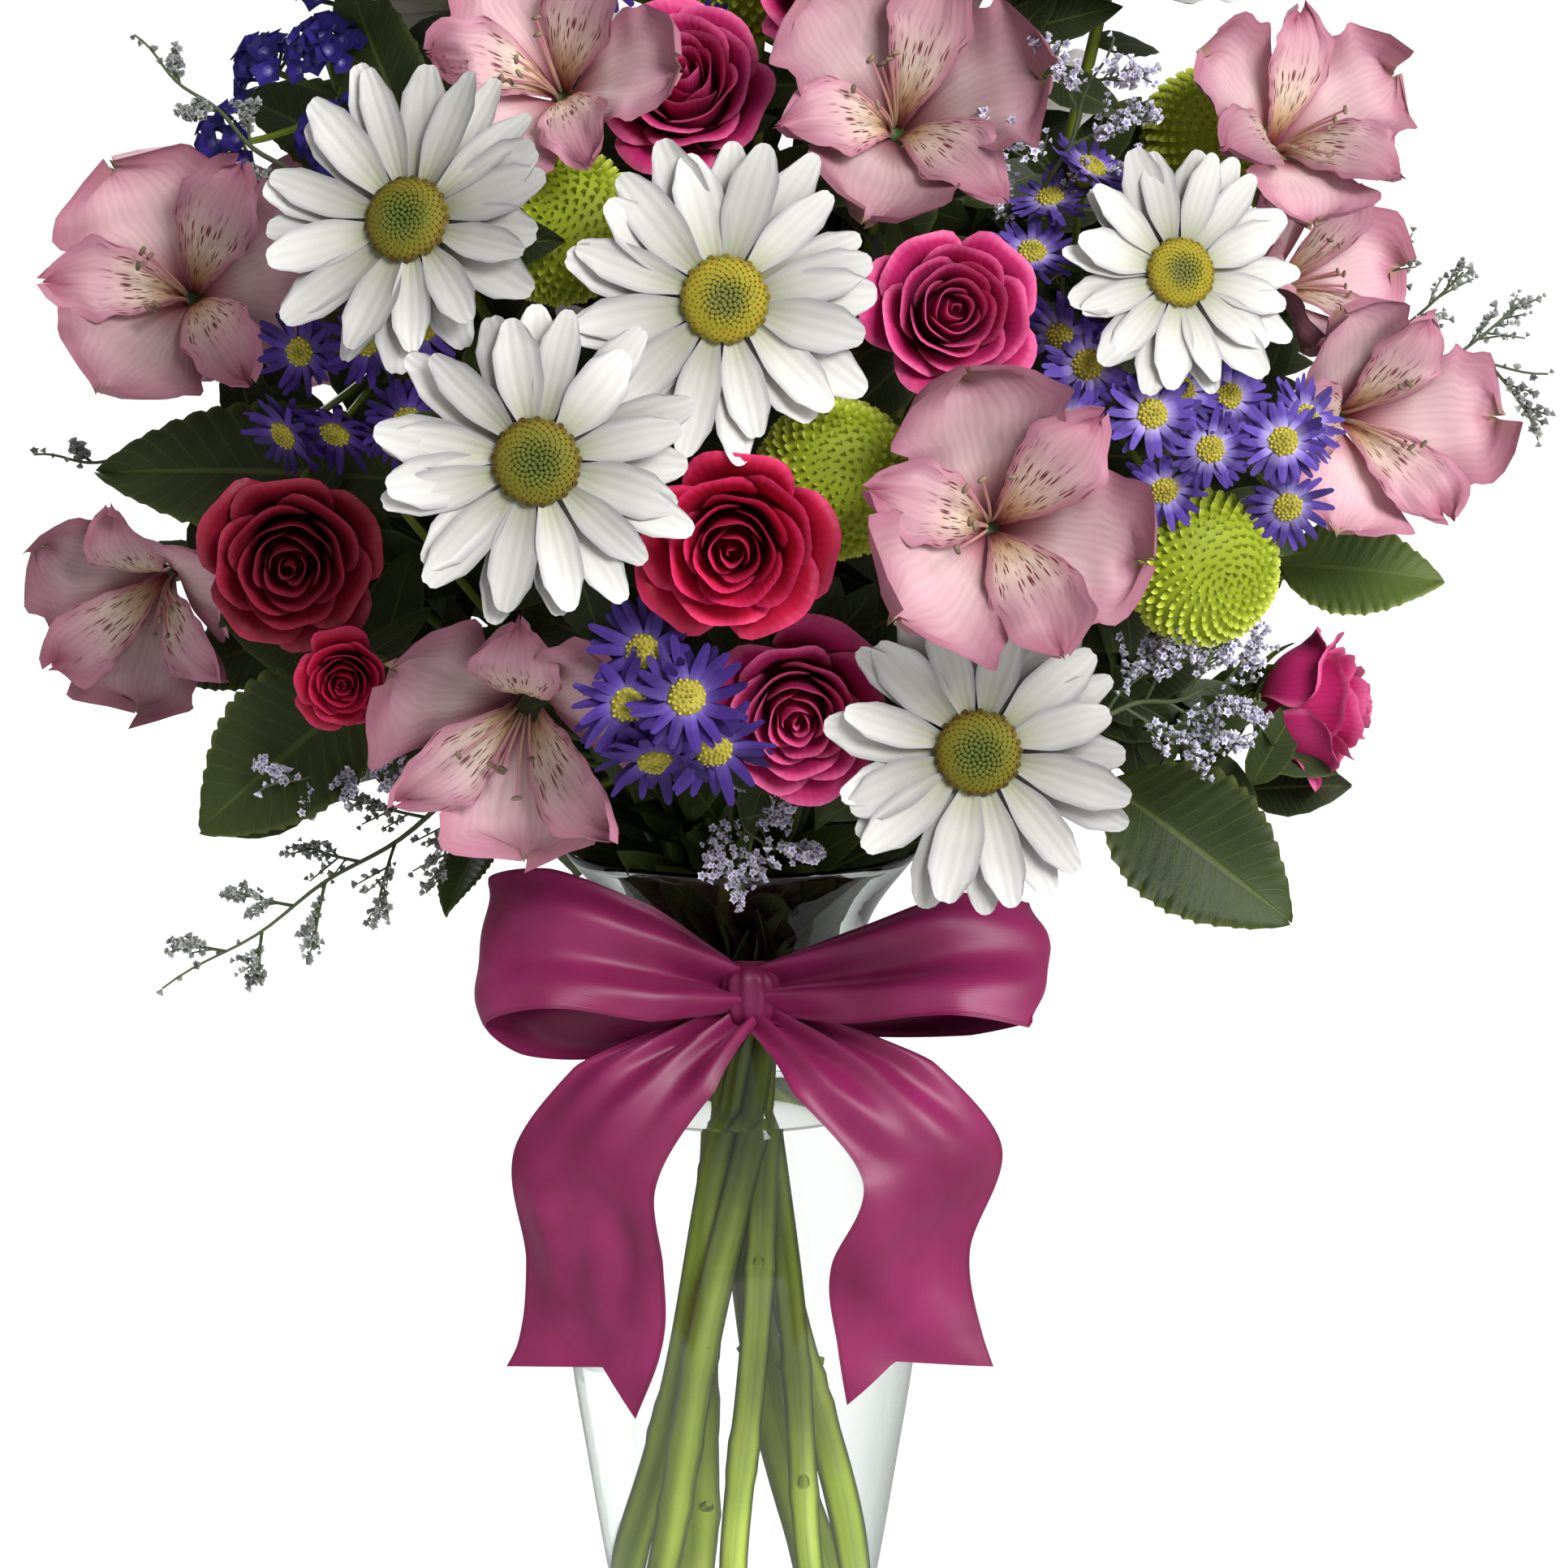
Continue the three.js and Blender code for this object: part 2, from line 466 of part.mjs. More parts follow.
// A small aster head on its twig, in one body: a star with a raised middle, whose back narrows to a three-sided
// twig. The points are the star's own, its middle, then the three corners of the twig at the head and at its end
function asterOnTwig(head, twigEnd) {
  const star = Array.from({ length: 2 * ASTER_PETALS }, (_, i) => {
    const notch = i % 2;
    return polar((notch ? 0.46 : 1) * ASTER_RADIUS, (i * Math.PI) / ASTER_PETALS, notch ? 0 : 1 + 0.5 * (i % 4));
  });
  const neck = [0, 1, 2].map((k) => polar(1, 1 + 2.1 * k, -2));
  const onHead = [...star, vec(0, 0, 2), ...neck].map((point) => point.applyMatrix4(head));
  const toEnd = twigEnd.clone().sub(new THREE.Vector3().setFromMatrixPosition(head));
  const points = [...onHead, ...neck.map((point) => point.clone().add(toEnd))];
  const [middle, ring] = [star.length, star.length + 1];
  const side = (i) => Math.floor((3 * i) / star.length);
  const triangles = [[ring + 5, ring + 4, ring + 3]];
  star.forEach((_, i) => {
    const next = (i + 1) % star.length;
    triangles.push([i, next, middle], [next, i, ring + side(i)]);
    if (side(i) !== side(next)) triangles.push([next, ring + side(i), ring + side(next)]);
  });
  for (const [a, b] of [[0, 1], [1, 2], [2, 0]]) {
    triangles.push([ring + b, ring + a, ring + a + 3], [ring + b, ring + a + 3, ring + b + 3]);
  }
  const geometry = new THREE.BufferGeometry().setFromPoints(points);
  geometry.setIndex(triangles.flat());
  return toSolid(geometry);
}

// Small heads spread over a low dome by the golden angle. The first stands on the main twig, which the others join
function asterCluster(heads, spread = 1) {
  const foot = vec(0, 0, -SEAT.asters);
  const places = Array.from({ length: heads }, (_, i) => {
    const away = ASTER_SPACING * spread * Math.sqrt(i + 0.3);
    return polar(away, GOLDEN_ANGLE * i + 0.6, -0.008 * away * away - 4 * (i % 3));
  });
  const twigs = places.map((place, i) => {
    const look = vec(place.x * 0.03, place.y * 0.03, 1).normalize();
    const end = i ? places[0].clone().lerp(foot, 0.6 + 0.07 * i) : foot;
    return asterOnTwig(bloomFrame(place, look), end);
  });
  return join(twigs);
}

// Stems and leaves

const seatDepth = (kind, size = 1) => SEAT[kind] * size + GAP;

const mainStems = Array.from({ length: MAIN_STEMS }, (_, i) => {
  const turn = (2 * Math.PI * i) / MAIN_STEMS + 0.5;
  const foot = polar(FLOOR_RING, turn - SPIRAL, STEM_FOOT);
  return { foot, neck: polar(NECK_RING, turn, NECK_HEIGHT), crown: polar(CROWN_RING, turn + 0.5, CROWN_HEIGHT) };
});

// Where a side stem leaves the main stems: on the one nearest its own direction, and near the crown where it has
// to pass over the lip to a low bloom
function forkFor(place) {
  const nearness = (stem) => -(stem.crown.x * place.x + stem.crown.y * place.y);
  const stem = [...mainStems].sort((a, b) => nearness(a) - nearness(b))[0];
  const share = THREE.MathUtils.clamp(1 - (place.z - 225) / 180, 0.2, 1);
  return stem.neck.clone().lerp(stem.crown, share);
}

// The first of several ways to make a piece that is clear of others, or the last way where none is
function firstClear(ways, make, others) {
  let made;
  for (const way of ways) {
    made = make(way);
    if (!others.some((other) => touches(made, other))) break;
  }
  return made;
}

// A side stem: back from its bloom's seat, then round to its fork, swelling into a cup under the bloom. How far
// it runs straight, and how far it then bends aside, are the first that clear the blooms
function sideStem(seat, look, cup, blooms) {
  const fork = forkFor(seat);
  const aside = look.clone().cross(vec(0, 0, 1)).normalize();
  const make = ([straight, side]) => {
    const bend = seat.clone().addScaledVector(look, -straight * seat.distanceTo(fork)).addScaledVector(aside, side);
    const curve = new THREE.QuadraticBezierCurve3(seat, bend, fork);
    const points = [seat, seat.clone().addScaledVector(look, -5), curve.getPoint(0.5), fork];
    return stalk(points, [cup, 1.2 * TWIG_RADIUS, TWIG_RADIUS, 1.5 * TWIG_RADIUS], cup > 6 ? 4 : 3);
  };
  return firstClear(pairs([0.42, 0.3, 0.55, 0.2, 0.7], [0, 12, -12, 24, -24]), make, blooms);
}

// A leaf: rows from its foot to its tip, folded along the rib, its edge cut by making every other row narrower
function leafBlade({ foot, tip, width, up }, deeper) {
  const [start, end] = [foot, tip].map(([across, rise, depth]) => seenAt(across, rise, depth + deeper));
  const along = end.clone().sub(start);
  const side = vec(...up).cross(along).normalize();
  const above = along.clone().cross(side).normalize();
  const rows = [0.03, 0.62, 0.94, 0.84, 1, 0.68, 0.62, 0.03].map((share, i, all) => {
    const t = i / (all.length - 1);
    const middle = start.clone().addScaledVector(along, t).addScaledVector(above, width * 0.35 * t * (1 - t));
    const half = (share * width) / 2;
    const edge = (s) => middle.clone().addScaledVector(side, s * half).addScaledVector(above, 0.22 * half);
    return [edge(-1), middle, edge(1)];
  });
  const stem = stalk([start.clone().addScaledVector(along, 0.12), forkFor(start)], [1.1, 1.5]);
  return join([strip(rows, 1.4 * PETAL), stem]);
}

const leaf = (shape, blooms) =>
  firstClear(steps(3), (deeper) => leafBlade(shape, shape.foot[2] > 0 ? -deeper : deeper), blooms);

// The main stems, or, thicker and longer by a margin, the holes in which they stand in the water
function mainStalks(margin = 0) {
  const radii = [MAIN_RADIUS + margin, MAIN_RADIUS + margin, 0.8 * MAIN_RADIUS + margin];
  const below = (foot, neck) => foot.clone().sub(neck).setLength(margin).add(foot);
  return join(mainStems.map(({ foot, neck, crown }) => stalk([below(foot, neck), neck, crown], radii, MAIN_SIDES)));
}

function makeStems(placed) {
  const blooms = [vase, bow, ...placed.map(({ solid }) => solid)];
  const side = placed.map(({ kind, size = 1, place, look, solid }) => {
    const seat = place.clone().addScaledVector(look, -seatDepth(kind, size));
    return sideStem(seat, look, CUP_RADIUS[kind] * size, blooms.filter((other) => other !== solid));
  });
  return join([mainStalks(), ...side, ...LEAVES.map((shape) => leaf(shape, blooms))]);
}

// Misty sprays: a thin arched stem, side twigs by turns, and small cups along each

function mistySpray({ from, to, twigs, reach }) {
  const [start, end] = [seenAt(...from), seenAt(...to)];
  const along = end.clone().sub(start);
  const side = along.clone().cross(vec(0, -1, 0.3)).normalize();
  const deep = along.clone().cross(side).normalize();
  const at = (t) => start.clone().addScaledVector(along, t).addScaledVector(deep, 5 * Math.sin(Math.PI * t));
  const parts = [stalk([forkFor(start), start, at(0.5), end], [1, 0.9, 0.8, 0.7])];
  for (let i = 0; i < twigs; i++) {
    const t = 0.12 + (0.8 * i) / twigs;
    const turn = i % 2 ? 1 : -1;
    const root = at(t);
    const way = side.clone().multiplyScalar(turn).addScaledVector(along.clone().normalize(), 0.9);
    way.addScaledVector(deep, 0.7 * Math.sin(2.4 * i)).normalize();
    const long = reach * (1.05 - 0.6 * t);
    const floret = root.clone().addScaledVector(way, long - 3);
    parts.push(stalk([root, floret, root.clone().addScaledVector(way, long)], [0.6, 0.6, 2.2]));
  }
  return join(parts);
}

// Ribbon bow

// A strip of ribbon along a route. Each stop is [x, y, z, width, tilt, turn], the last two in degrees: how far its
// width stands up from level, and how far it is turned about the vertical
function ribbonStrip(route, steps, notch = 0) {
  const line = new THREE.CatmullRomCurve3(route.map(([x, y, z]) => vec(x, y, z)), false, "centripetal");
  const rows = [];
  for (let i = 0; i <= steps; i++) {
    const t = i / steps;
    const [k, share] = [Math.min(Math.floor(t * (route.length - 1)), route.length - 2), t * (route.length - 1)];
    const value = (n) => THREE.MathUtils.lerp(route[k][n], route[k + 1][n], share - k);
    const [width, tilt, turn] = [value(3), ...[value(4), value(5)].map(THREE.MathUtils.degToRad)];
    const across = vec(Math.cos(tilt) * Math.cos(turn), Math.cos(tilt) * Math.sin(turn), Math.sin(tilt));
    const middle = line.getPoint(t);
    const edge = (s) => middle.clone().addScaledVector(across, s * width);
    rows.push([edge(-0.5), middle.clone().add(vec(0, 0, i === steps ? notch : 0)), edge(0.5)]);
  }
  return strip(rows, RIBBON, true);
}

function makeBow() {
  const low = NECK_HEIGHT - BAND_HEIGHT / 2;
  const high = low + BAND_HEIGHT;
  const inner = (height) => radiusAt(vaseOuter, height) + 1.5 * GAP;
  const outer = inner(high) + BAND_THICKNESS;
  const bandProfile = [[inner(low), low], [outer, low], [outer, high], [inner(high), high], [inner(low), low]];
  const { x, y, z } = vec(2, -outer - KNOT_RADIUS + 1.5, NECK_HEIGHT + 3);
  const knotShares = [[0, -9], [0.7, -8], [1, -2.5], [0.95, 3], [0.7, 8], [0, 9]];
  const knotProfile = knotShares.map(([share, height]) => [share * KNOT_RADIUS, height]);
  const knot = moved(turned(knotProfile, 8), new THREE.Matrix4().setPosition(x, y, z));
  const leftLoop = [
    [x - 2, y, z, 13, 88, 0], [x - 22, y - 10, z + 6, 30, 90, 0], [x - 48, y - 11, z + 12, 38, 96, 0],
    [x - 63, y - 2, z + 10, 38, 98, 0], [x - 50, y + 8, z + 3, 36, 96, 0], [x - 24, y + 6, z - 2, 28, 90, 0],
    [x - 2, y + 1, z - 1, 13, 88, 0],
  ];
  const rightLoop = [
    [x + 2, y, z, 13, 84, 0], [x + 22, y - 8, z + 7, 24, 74, 90], [x + 48, y - 10, z + 12, 32, 58, 90],
    [x + 68, y - 2, z + 6, 33, 56, 90], [x + 50, y + 9, z + 2, 31, 58, 90], [x + 24, y + 6, z, 23, 70, 90],
    [x + 2, y + 1, z - 1, 13, 84, 0],
  ];
  const leftTail = [
    [x - 2, y, z - 2, 13, 0, 0], [x - 24, y - 12, z - 16, 34, -8, -16], [x - 38, y - 15, z - 36, 37, -6, -26],
    [x - 36, y - 15, z - 60, 35, 0, -24], [x - 37, y - 14, z - 80, 37, 4, -22],
    [x - 46, y - 16, z - 96, 40, 0, -20],
  ];
  const rightTail = [
    [x + 2, y, z - 2, 13, 0, 0], [x + 26, y - 12, z - 16, 34, 8, 16], [x + 43, y - 15, z - 36, 37, 6, 26],
    [x + 35, y - 15, z - 58, 36, 0, 24], [x + 37, y - 14, z - 78, 37, -4, 22],
    [x + 42, y - 16, z - 96, 38, 0, 18],
  ];
  const loops = [leftLoop, rightLoop].map((route) => ribbonStrip(route, LOOP_STEPS));
  const tails = [leftTail, rightTail].map((route) => ribbonStrip(route, TAIL_STEPS, NOTCH));
  return join([turned(bandProfile, VASE_SIDES), knot, ...loops, ...tails]);
}

// Assembly

const group = new THREE.Group();
const MADE = { daisy: daisyPetals, rose, lily, button };
const KIND_COLOUR = { daisy: "white_petal", rose: "rose", lily: "pink_petal", button: "lime", asters: "violet" };

function addMesh(name, solid, colour, frame = new THREE.Matrix4()) {
  const [hex, roughness, metalness] = COLOURS[colour];
  const clear = colour === "glass" || colour === "water";
  const shade = { transparent: clear, opacity: clear ? 0.35 : 1, flatShading: true };
  const geometry = toGeometry(moved(solid, frame.clone().invert()));
  const material = new THREE.MeshStandardMaterial({ color: hex, roughness, metalness, ...shade });
  const mesh = new THREE.Mesh(geometry, material);
  mesh.name = name;
  mesh.applyMatrix4(frame);
  group.add(mesh);
}

const shapeOf = (bloom) =>
  bloom.kind === "asters" ? asterCluster(bloom.heads ?? 4, bloom.spread) : MADE[bloom.kind](bloom.size);

const vase = makeVase();
const bow = makeBow();

// A bloom laid on the dome, then moved out along its line of sight until it is clear of those before it
function settle(shape, { across, up, inner, lean, roll }, side, others) {
  const depth = domeDepth(across, up, side, inner);
  let spot;
  const tryAt = (further) => {
    const far = depth + side * further;
    const place = side === FRONT ? seenAt(across, up, far) : vec(across, far, up);
    const look = facing(place, side, lean);
    const frame = bloomFrame(place, look, roll);
    spot = { place, look, frame, solid: moved(shape, frame) };
    return spot.solid;
  };
  firstClear(steps(CLEAR_STEP), tryAt, others);
  return spot;
}

const placed = [];
for (const bloom of BLOOMS) {
  const others = [bow, ...placed.map(({ solid }) => solid)];
  placed.push({ ...bloom, ...settle(shapeOf(bloom), bloom, FRONT, others) });
}
const stems = largest(makeStems(placed));

// A spray at the back: its heads, and a forked stem that gathers them
function backSpray({ name, kind, heads, florets }, others) {
  const spots = [];
  for (const [across, up] of heads) {
    const before = [...others, ...spots.map(({ solid }) => solid)];
    spots.push(settle(shapeOf({ kind, heads: florets }), { across, up }, BACK, before));
  }
  const middle = spots.reduce((sum, { place }) => sum.add(place), vec(0, 0, 0)).divideScalar(spots.length);
  let fork;
  const twigsTo = ([share, aside]) => {
    fork = middle.clone().lerp(vec(aside, 12, CROWN_HEIGHT + 6), share);
    return join(spots.map(({ place, look }) => {
      const seat = place.clone().addScaledVector(look, SINK[kind] - SEAT[kind]);
      return stalk([seat, seat.clone().addScaledVector(look, -14), fork], [2.2, 1.3, 1.6]);
    }));
  };
  const twigs = firstClear(pairs([0.6, 0.5, 0.7, 0.4, 0.3], [0, 15, -15, 30, -30]), twigsTo, others);
  const solid = join([...spots.map((spot) => spot.solid), twigs, stalk([fork, forkFor(fork)], [1.8, 1.8])]);
  return { name, kind, solid };
}

const backSprays = [];
for (const spray of BACK_SPRAYS) {
  backSprays.push(backSpray(spray, [stems, ...[...placed, ...backSprays].map(({ solid }) => solid)]));
}

// What comes later gives way to what comes earlier
const fixed = [vase, bow, stems];
const keep = (solid) => {
  const left = fixed.reduce(cutClear, solid);
  fixed.push(left);
  return left;
};

addMesh("vase", vase, "glass");
addMesh("water", makeWater(), "water");
addMesh("ribbon_bow", bow, "ribbon");
addMesh("stems_and_leaves", [vase, bow].reduce(cutClear, stems), "stem");
for (const { name, kind, solid, frame, size, colour } of [...placed].reverse()) {
  if (kind === "daisy") {
    addMesh(`${name}_petals`, keep(solid), "white_petal", frame);
    addMesh(`${name}_eye`, keep(moved(daisyEye(size), frame)), "daisy_eye", frame);
  } else {
    addMesh(name, keep(solid), colour ?? KIND_COLOUR[kind], frame);
  }
}
for (const { name, kind, solid } of backSprays) addMesh(name, keep(solid), KIND_COLOUR[kind]);

for (const spray of SPRAYS) addMesh(spray.name, keep(mistySpray(spray)), "misty");

export default group;
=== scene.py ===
# %% [markdown]
# # A mixed bouquet in a glass vase
#
# The vase, the water, the stems and every bloom already stand in the frame as plain faceted solids. This lesson
# gives each of them the surface that the real one shows: petals in layers, veins, florets, woven ribbon, clear
# glass. It works the way a florist does, from the vase up, and it measures in millimetres until the very end.

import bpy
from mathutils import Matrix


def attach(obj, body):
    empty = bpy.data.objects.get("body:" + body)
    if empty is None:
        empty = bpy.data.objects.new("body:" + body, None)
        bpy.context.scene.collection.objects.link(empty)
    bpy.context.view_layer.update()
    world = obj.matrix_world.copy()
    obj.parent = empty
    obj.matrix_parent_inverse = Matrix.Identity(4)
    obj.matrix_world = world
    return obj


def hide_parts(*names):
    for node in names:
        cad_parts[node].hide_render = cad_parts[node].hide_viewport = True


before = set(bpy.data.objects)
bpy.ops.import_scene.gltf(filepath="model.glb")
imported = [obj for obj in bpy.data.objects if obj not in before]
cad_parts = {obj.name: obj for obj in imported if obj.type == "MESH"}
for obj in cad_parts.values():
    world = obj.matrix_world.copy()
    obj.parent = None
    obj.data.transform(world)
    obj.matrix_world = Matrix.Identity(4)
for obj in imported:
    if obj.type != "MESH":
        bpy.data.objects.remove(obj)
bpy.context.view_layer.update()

import math
import zlib
from types import SimpleNamespace

import bpy
import numpy as np
from mathutils import Vector
from numpy import cos, pi, sin

MM = 0.001
GOLDEN = math.radians(137.508)
TAU = 2 * pi
TURN = 6.28  # A full turn, as near as random phases need it

# %% [markdown]
# ## Surfaces as arrays
#
# A petal is a thin sheet, a stem is a tube, and a disc floret is a bead. A bouquet holds thousands of them, so every
# shape here is a formula worked out for all its copies at once, and is kept as plain arrays until the whole piece
# goes into one mesh.


# %% A surface, and several as one
class Surface:
    """Corners, faces of four and of three corners, and for each corner a UV and a shade from 0 to 1."""

    def __init__(self, corners, quads=(), tris=(), uv=None, shade=0.5):
        self.corners = np.asarray(corners, float).reshape(-1, 3)
        self.quads = np.asarray(quads, int).reshape(-1, 4)
        self.tris = np.asarray(tris, int).reshape(-1, 3)
        self.uv = np.zeros((len(self.corners), 2)) if uv is None else np.asarray(uv, float).reshape(-1, 2)
        self.shade = np.broadcast_to(np.asarray(shade, float), len(self.corners)).copy()

    def reshaped(self, corners):
        """The same faces, UV and shades on other corners."""
        return Surface(corners, self.quads, self.tris, self.uv, self.shade)

    def placed(self, spot):
        """The same surface carried into a spot: axes in rows, times the corners, plus the spot's middle."""
        axes, middle = spot
        return self.reshaped(self.corners @ axes + middle)


def joined(surfaces):
    """Several surfaces as one: each one's face numbers move up by the corners that come before it."""
    starts = np.cumsum([0] + [len(one.corners) for one in surfaces])
    return Surface(
        np.concatenate([one.corners for one in surfaces]),
        np.concatenate([one.quads + start for one, start in zip(surfaces, starts)]),
        np.concatenate([one.tris + start for one, start in zip(surfaces, starts)]),
        np.concatenate([one.uv for one in surfaces]),
        np.concatenate([one.shade for one in surfaces]),
    )


# %% [markdown]
# Rows and columns of corners make a grid, and a grid's faces follow from its size alone. The first direction runs
# along the piece and the second across it, so the face looks to the side where along x across points.


# %% Grids, blades and tubes
def steps(count):
    """Even shares from 0 to 1."""
    return np.linspace(0, 1, count)


def unit(vectors):
    """Each vector divided by its length."""
    return vectors / np.maximum(np.linalg.norm(vectors, axis=-1, keepdims=True), 1e-9)


def ease(low, high, values):
    """0 up to low, 1 from high, and between them 3x^2 - 2x^3, which starts and ends level."""
    share = np.clip((np.asarray(values, float) - low) / (high - low), 0, 1)
    return share * share * (3 - 2 * share)


def grid_faces(rows, columns, wrap=False):
    """The faces between neighbouring rows and columns. With wrap the last column meets the first."""
    row, column = np.meshgrid(np.arange(rows - 1), np.arange(columns if wrap else columns - 1), indexing="ij")
    near, far = row * columns, (row + 1) * columns
    after = (column + 1) % columns
    return np.stack([near + column, far + column, far + after, near + after], -1).reshape(-1, 4)


def repeated(corners, quads, tris, uv, shade):
    """The faces and UV of one surface for every copy of its corners, (count, each, 3), with a shade per copy."""
    count, each = corners.shape[:2]
    offset = each * np.arange(count)[:, None, None]
    shades = np.broadcast_to(np.asarray(shade, float).reshape(-1, 1), (count, each))
    return Surface(corners, quads[None] + offset, tris[None] + offset, np.tile(uv, (count, 1)), shades.ravel())


def blades(front, thickness, shade=0.5):
    """Closed thin blades from grids of shape (count, rows, columns, 3). The back is the front moved against its
    normal by the thickness, and both share the corners of the outline, so the edge is sharp as a petal's."""
    count, rows, columns = front.shape[:3]
    normal = unit(np.cross(np.gradient(front, axis=1), np.gradient(front, axis=2)))
    back = front - thickness * normal
    inner = np.zeros((rows, columns), bool)
    inner[1:-1, 1:-1] = True
    number = np.arange(rows * columns).reshape(rows, columns)
    behind = number.copy()
    behind[inner] = rows * columns + np.arange(inner.sum())
    faces = grid_faces(rows, columns)
    quads = np.concatenate([faces, behind.ravel()[faces][:, ::-1]])
    corners = np.concatenate([front.reshape(count, -1, 3), back[:, inner]], axis=1)
    along, across = np.meshgrid(steps(rows), steps(columns), indexing="ij")
    uv = np.stack([across, along], -1)
    uv = np.concatenate([uv.reshape(-1, 2), uv[inner]])
    return repeated(corners, quads, np.zeros((0, 3), int), uv, shade)


def end_fans(rings, sides):
    """Triangles that close both ends of a body of rings. Its two end corners come after those of the rings."""
    side = np.arange(sides)
    after, last, total = (side + 1) % sides, (rings - 1) * sides, rings * sides
    return np.concatenate([
        np.stack([after, side, np.full(sides, total)], -1),
        np.stack([last + side, last + after, np.full(sides, total + 1)], -1),
    ])


def ring_uv(around, along):
    """The UV of a body of rings, round it and along it, and then that of its two ends."""
    grid = np.stack(np.meshgrid(around, along), -1)
    return np.concatenate([grid.reshape(-1, 2), [[0, 0], [0, 1]]])


SLANT = np.array([0.31, 0.17, 0.94])


def square_ring(along, turns):
    """A ring of directions square to a way. It starts at that way crossed with a fixed slanting one."""
    first = unit(np.cross(SLANT, along))
    second = np.cross(along, first)
    return cos(turns)[:, None] * first[..., None, :] + sin(turns)[:, None] * second[..., None, :]


def tubes(paths, radii, sides=8, shade=0.5):
    """Round tubes along paths of shape (count, points, 3): at each point a ring of the given radius, square to the
    path. Each end is closed by a fan round its own middle."""
    paths = np.asarray(paths, float)
    count, points = paths.shape[:2]
    radii = np.broadcast_to(np.asarray(radii, float), (count, points))
    ring = square_ring(unit(np.gradient(paths, axis=1)), np.arange(sides) * TAU / sides)
    rings = paths[:, :, None] + radii[:, :, None, None] * ring
    corners = np.concatenate([rings.reshape(count, -1, 3), paths[:, :1], paths[:, -1:]], axis=1)
    return repeated(corners, grid_faces(points, sides, wrap=True)[:, ::-1], end_fans(points, sides),
                    ring_uv(np.arange(sides) / sides, steps(points)), shade)


def round_points(radius, turns, height):
    """Points at a radius, at several turns round the upright axis, and at a height."""
    turns = np.asarray(turns, float)
    return np.stack(np.broadcast_arrays(radius * cos(turns), radius * sin(turns), height), -1).astype(float)


def capped(grid, ends, uv, shade=0.5):
    """A closed body from a grid of rings, (rings, sides, 3), and the two corners in which it ends."""
    rings, sides = grid.shape[:2]
    return Surface(np.concatenate([grid.reshape(-1, 3), ends]), grid_faces(rings, sides, wrap=True)[:, ::-1],
                   end_fans(rings, sides), uv, shade)


def turned(profile, sides):
    """A profile of (radius, height) carried round the upright axis. It starts and ends on the axis, where each
    end is one corner with a fan round it."""
    profile = np.asarray(profile, float)
    rings = profile[1:-1, :, None]
    grid = round_points(rings[:, 0], np.arange(sides) * TAU / sides, rings[:, 1])
    return capped(grid, [[0, 0, profile[0, 1]], [0, 0, profile[-1, 1]]],
                  ring_uv(np.arange(sides) / sides, steps(len(rings))))


def copies(surface, axes, middles, shade=0.5):
    """One surface at many places: for each, its corners times that place's axes (in rows), plus its middle."""
    corners = np.einsum("nk,mkj->mnj", surface.corners, np.asarray(axes, float)) + np.asarray(middles, float)[:, None]
    return repeated(corners, surface.quads, surface.tris, surface.uv, shade)


print("shapes: blades, tubes, turned bodies and copies")

# %% [markdown]
# Petals of all kinds are worked out in the same way: a number t runs along the petal and a number s across it, and
# each petal draws some numbers of its own. Four small functions serve them all.


# %% What all petals need
def along_across(rows, columns):
    """t from 0 to 1 along a petal and s from -1 to 1 across it, shaped to spread over the grids of many petals."""
    return steps(rows)[None, :, None], np.linspace(-1, 1, columns)[None, None, :]


def drawn(random, count):
    """A function that draws a number between two limits for each of the petals."""
    return lambda low, high: random.uniform(low, high, (count, 1, 1))


def spun(x, y, z, angle):
    """Petals laid along the first axis, turned by their angles about the third."""
    return np.stack([x * cos(angle) - y * sin(angle), x * sin(angle) + y * cos(angle), z], -1)


def cubic(stops, t):
    """A curve from the first of four numbers to the last, drawn towards the two between. Their weights are
    (1-t)^3, 3t(1-t)^2, 3t^2(1-t) and t^3."""
    weights = (1 - t) ** 3, 3 * t * (1 - t) ** 2, 3 * t ** 2 * (1 - t), t ** 3
    return sum(weight * stop for weight, stop in zip(weights, stops))


print("petals: t runs along, s across")

# %% [markdown]
# A finished piece goes into Blender in one go. Its object stays at the origin, its corners hold its place, and its
# edges are smooth except where two faces meet at a sharp angle, such as a petal's rim. The piece then rides on the
# frame and takes the place of the plain solid that stood for it.

# %% Put a piece into the scene
SHARP_FROM = math.radians(55)


def into_scene(name, data):
    """A new object that holds some data."""
    made = bpy.data.objects.new(name, data)
    bpy.context.scene.collection.objects.link(made)
    return made


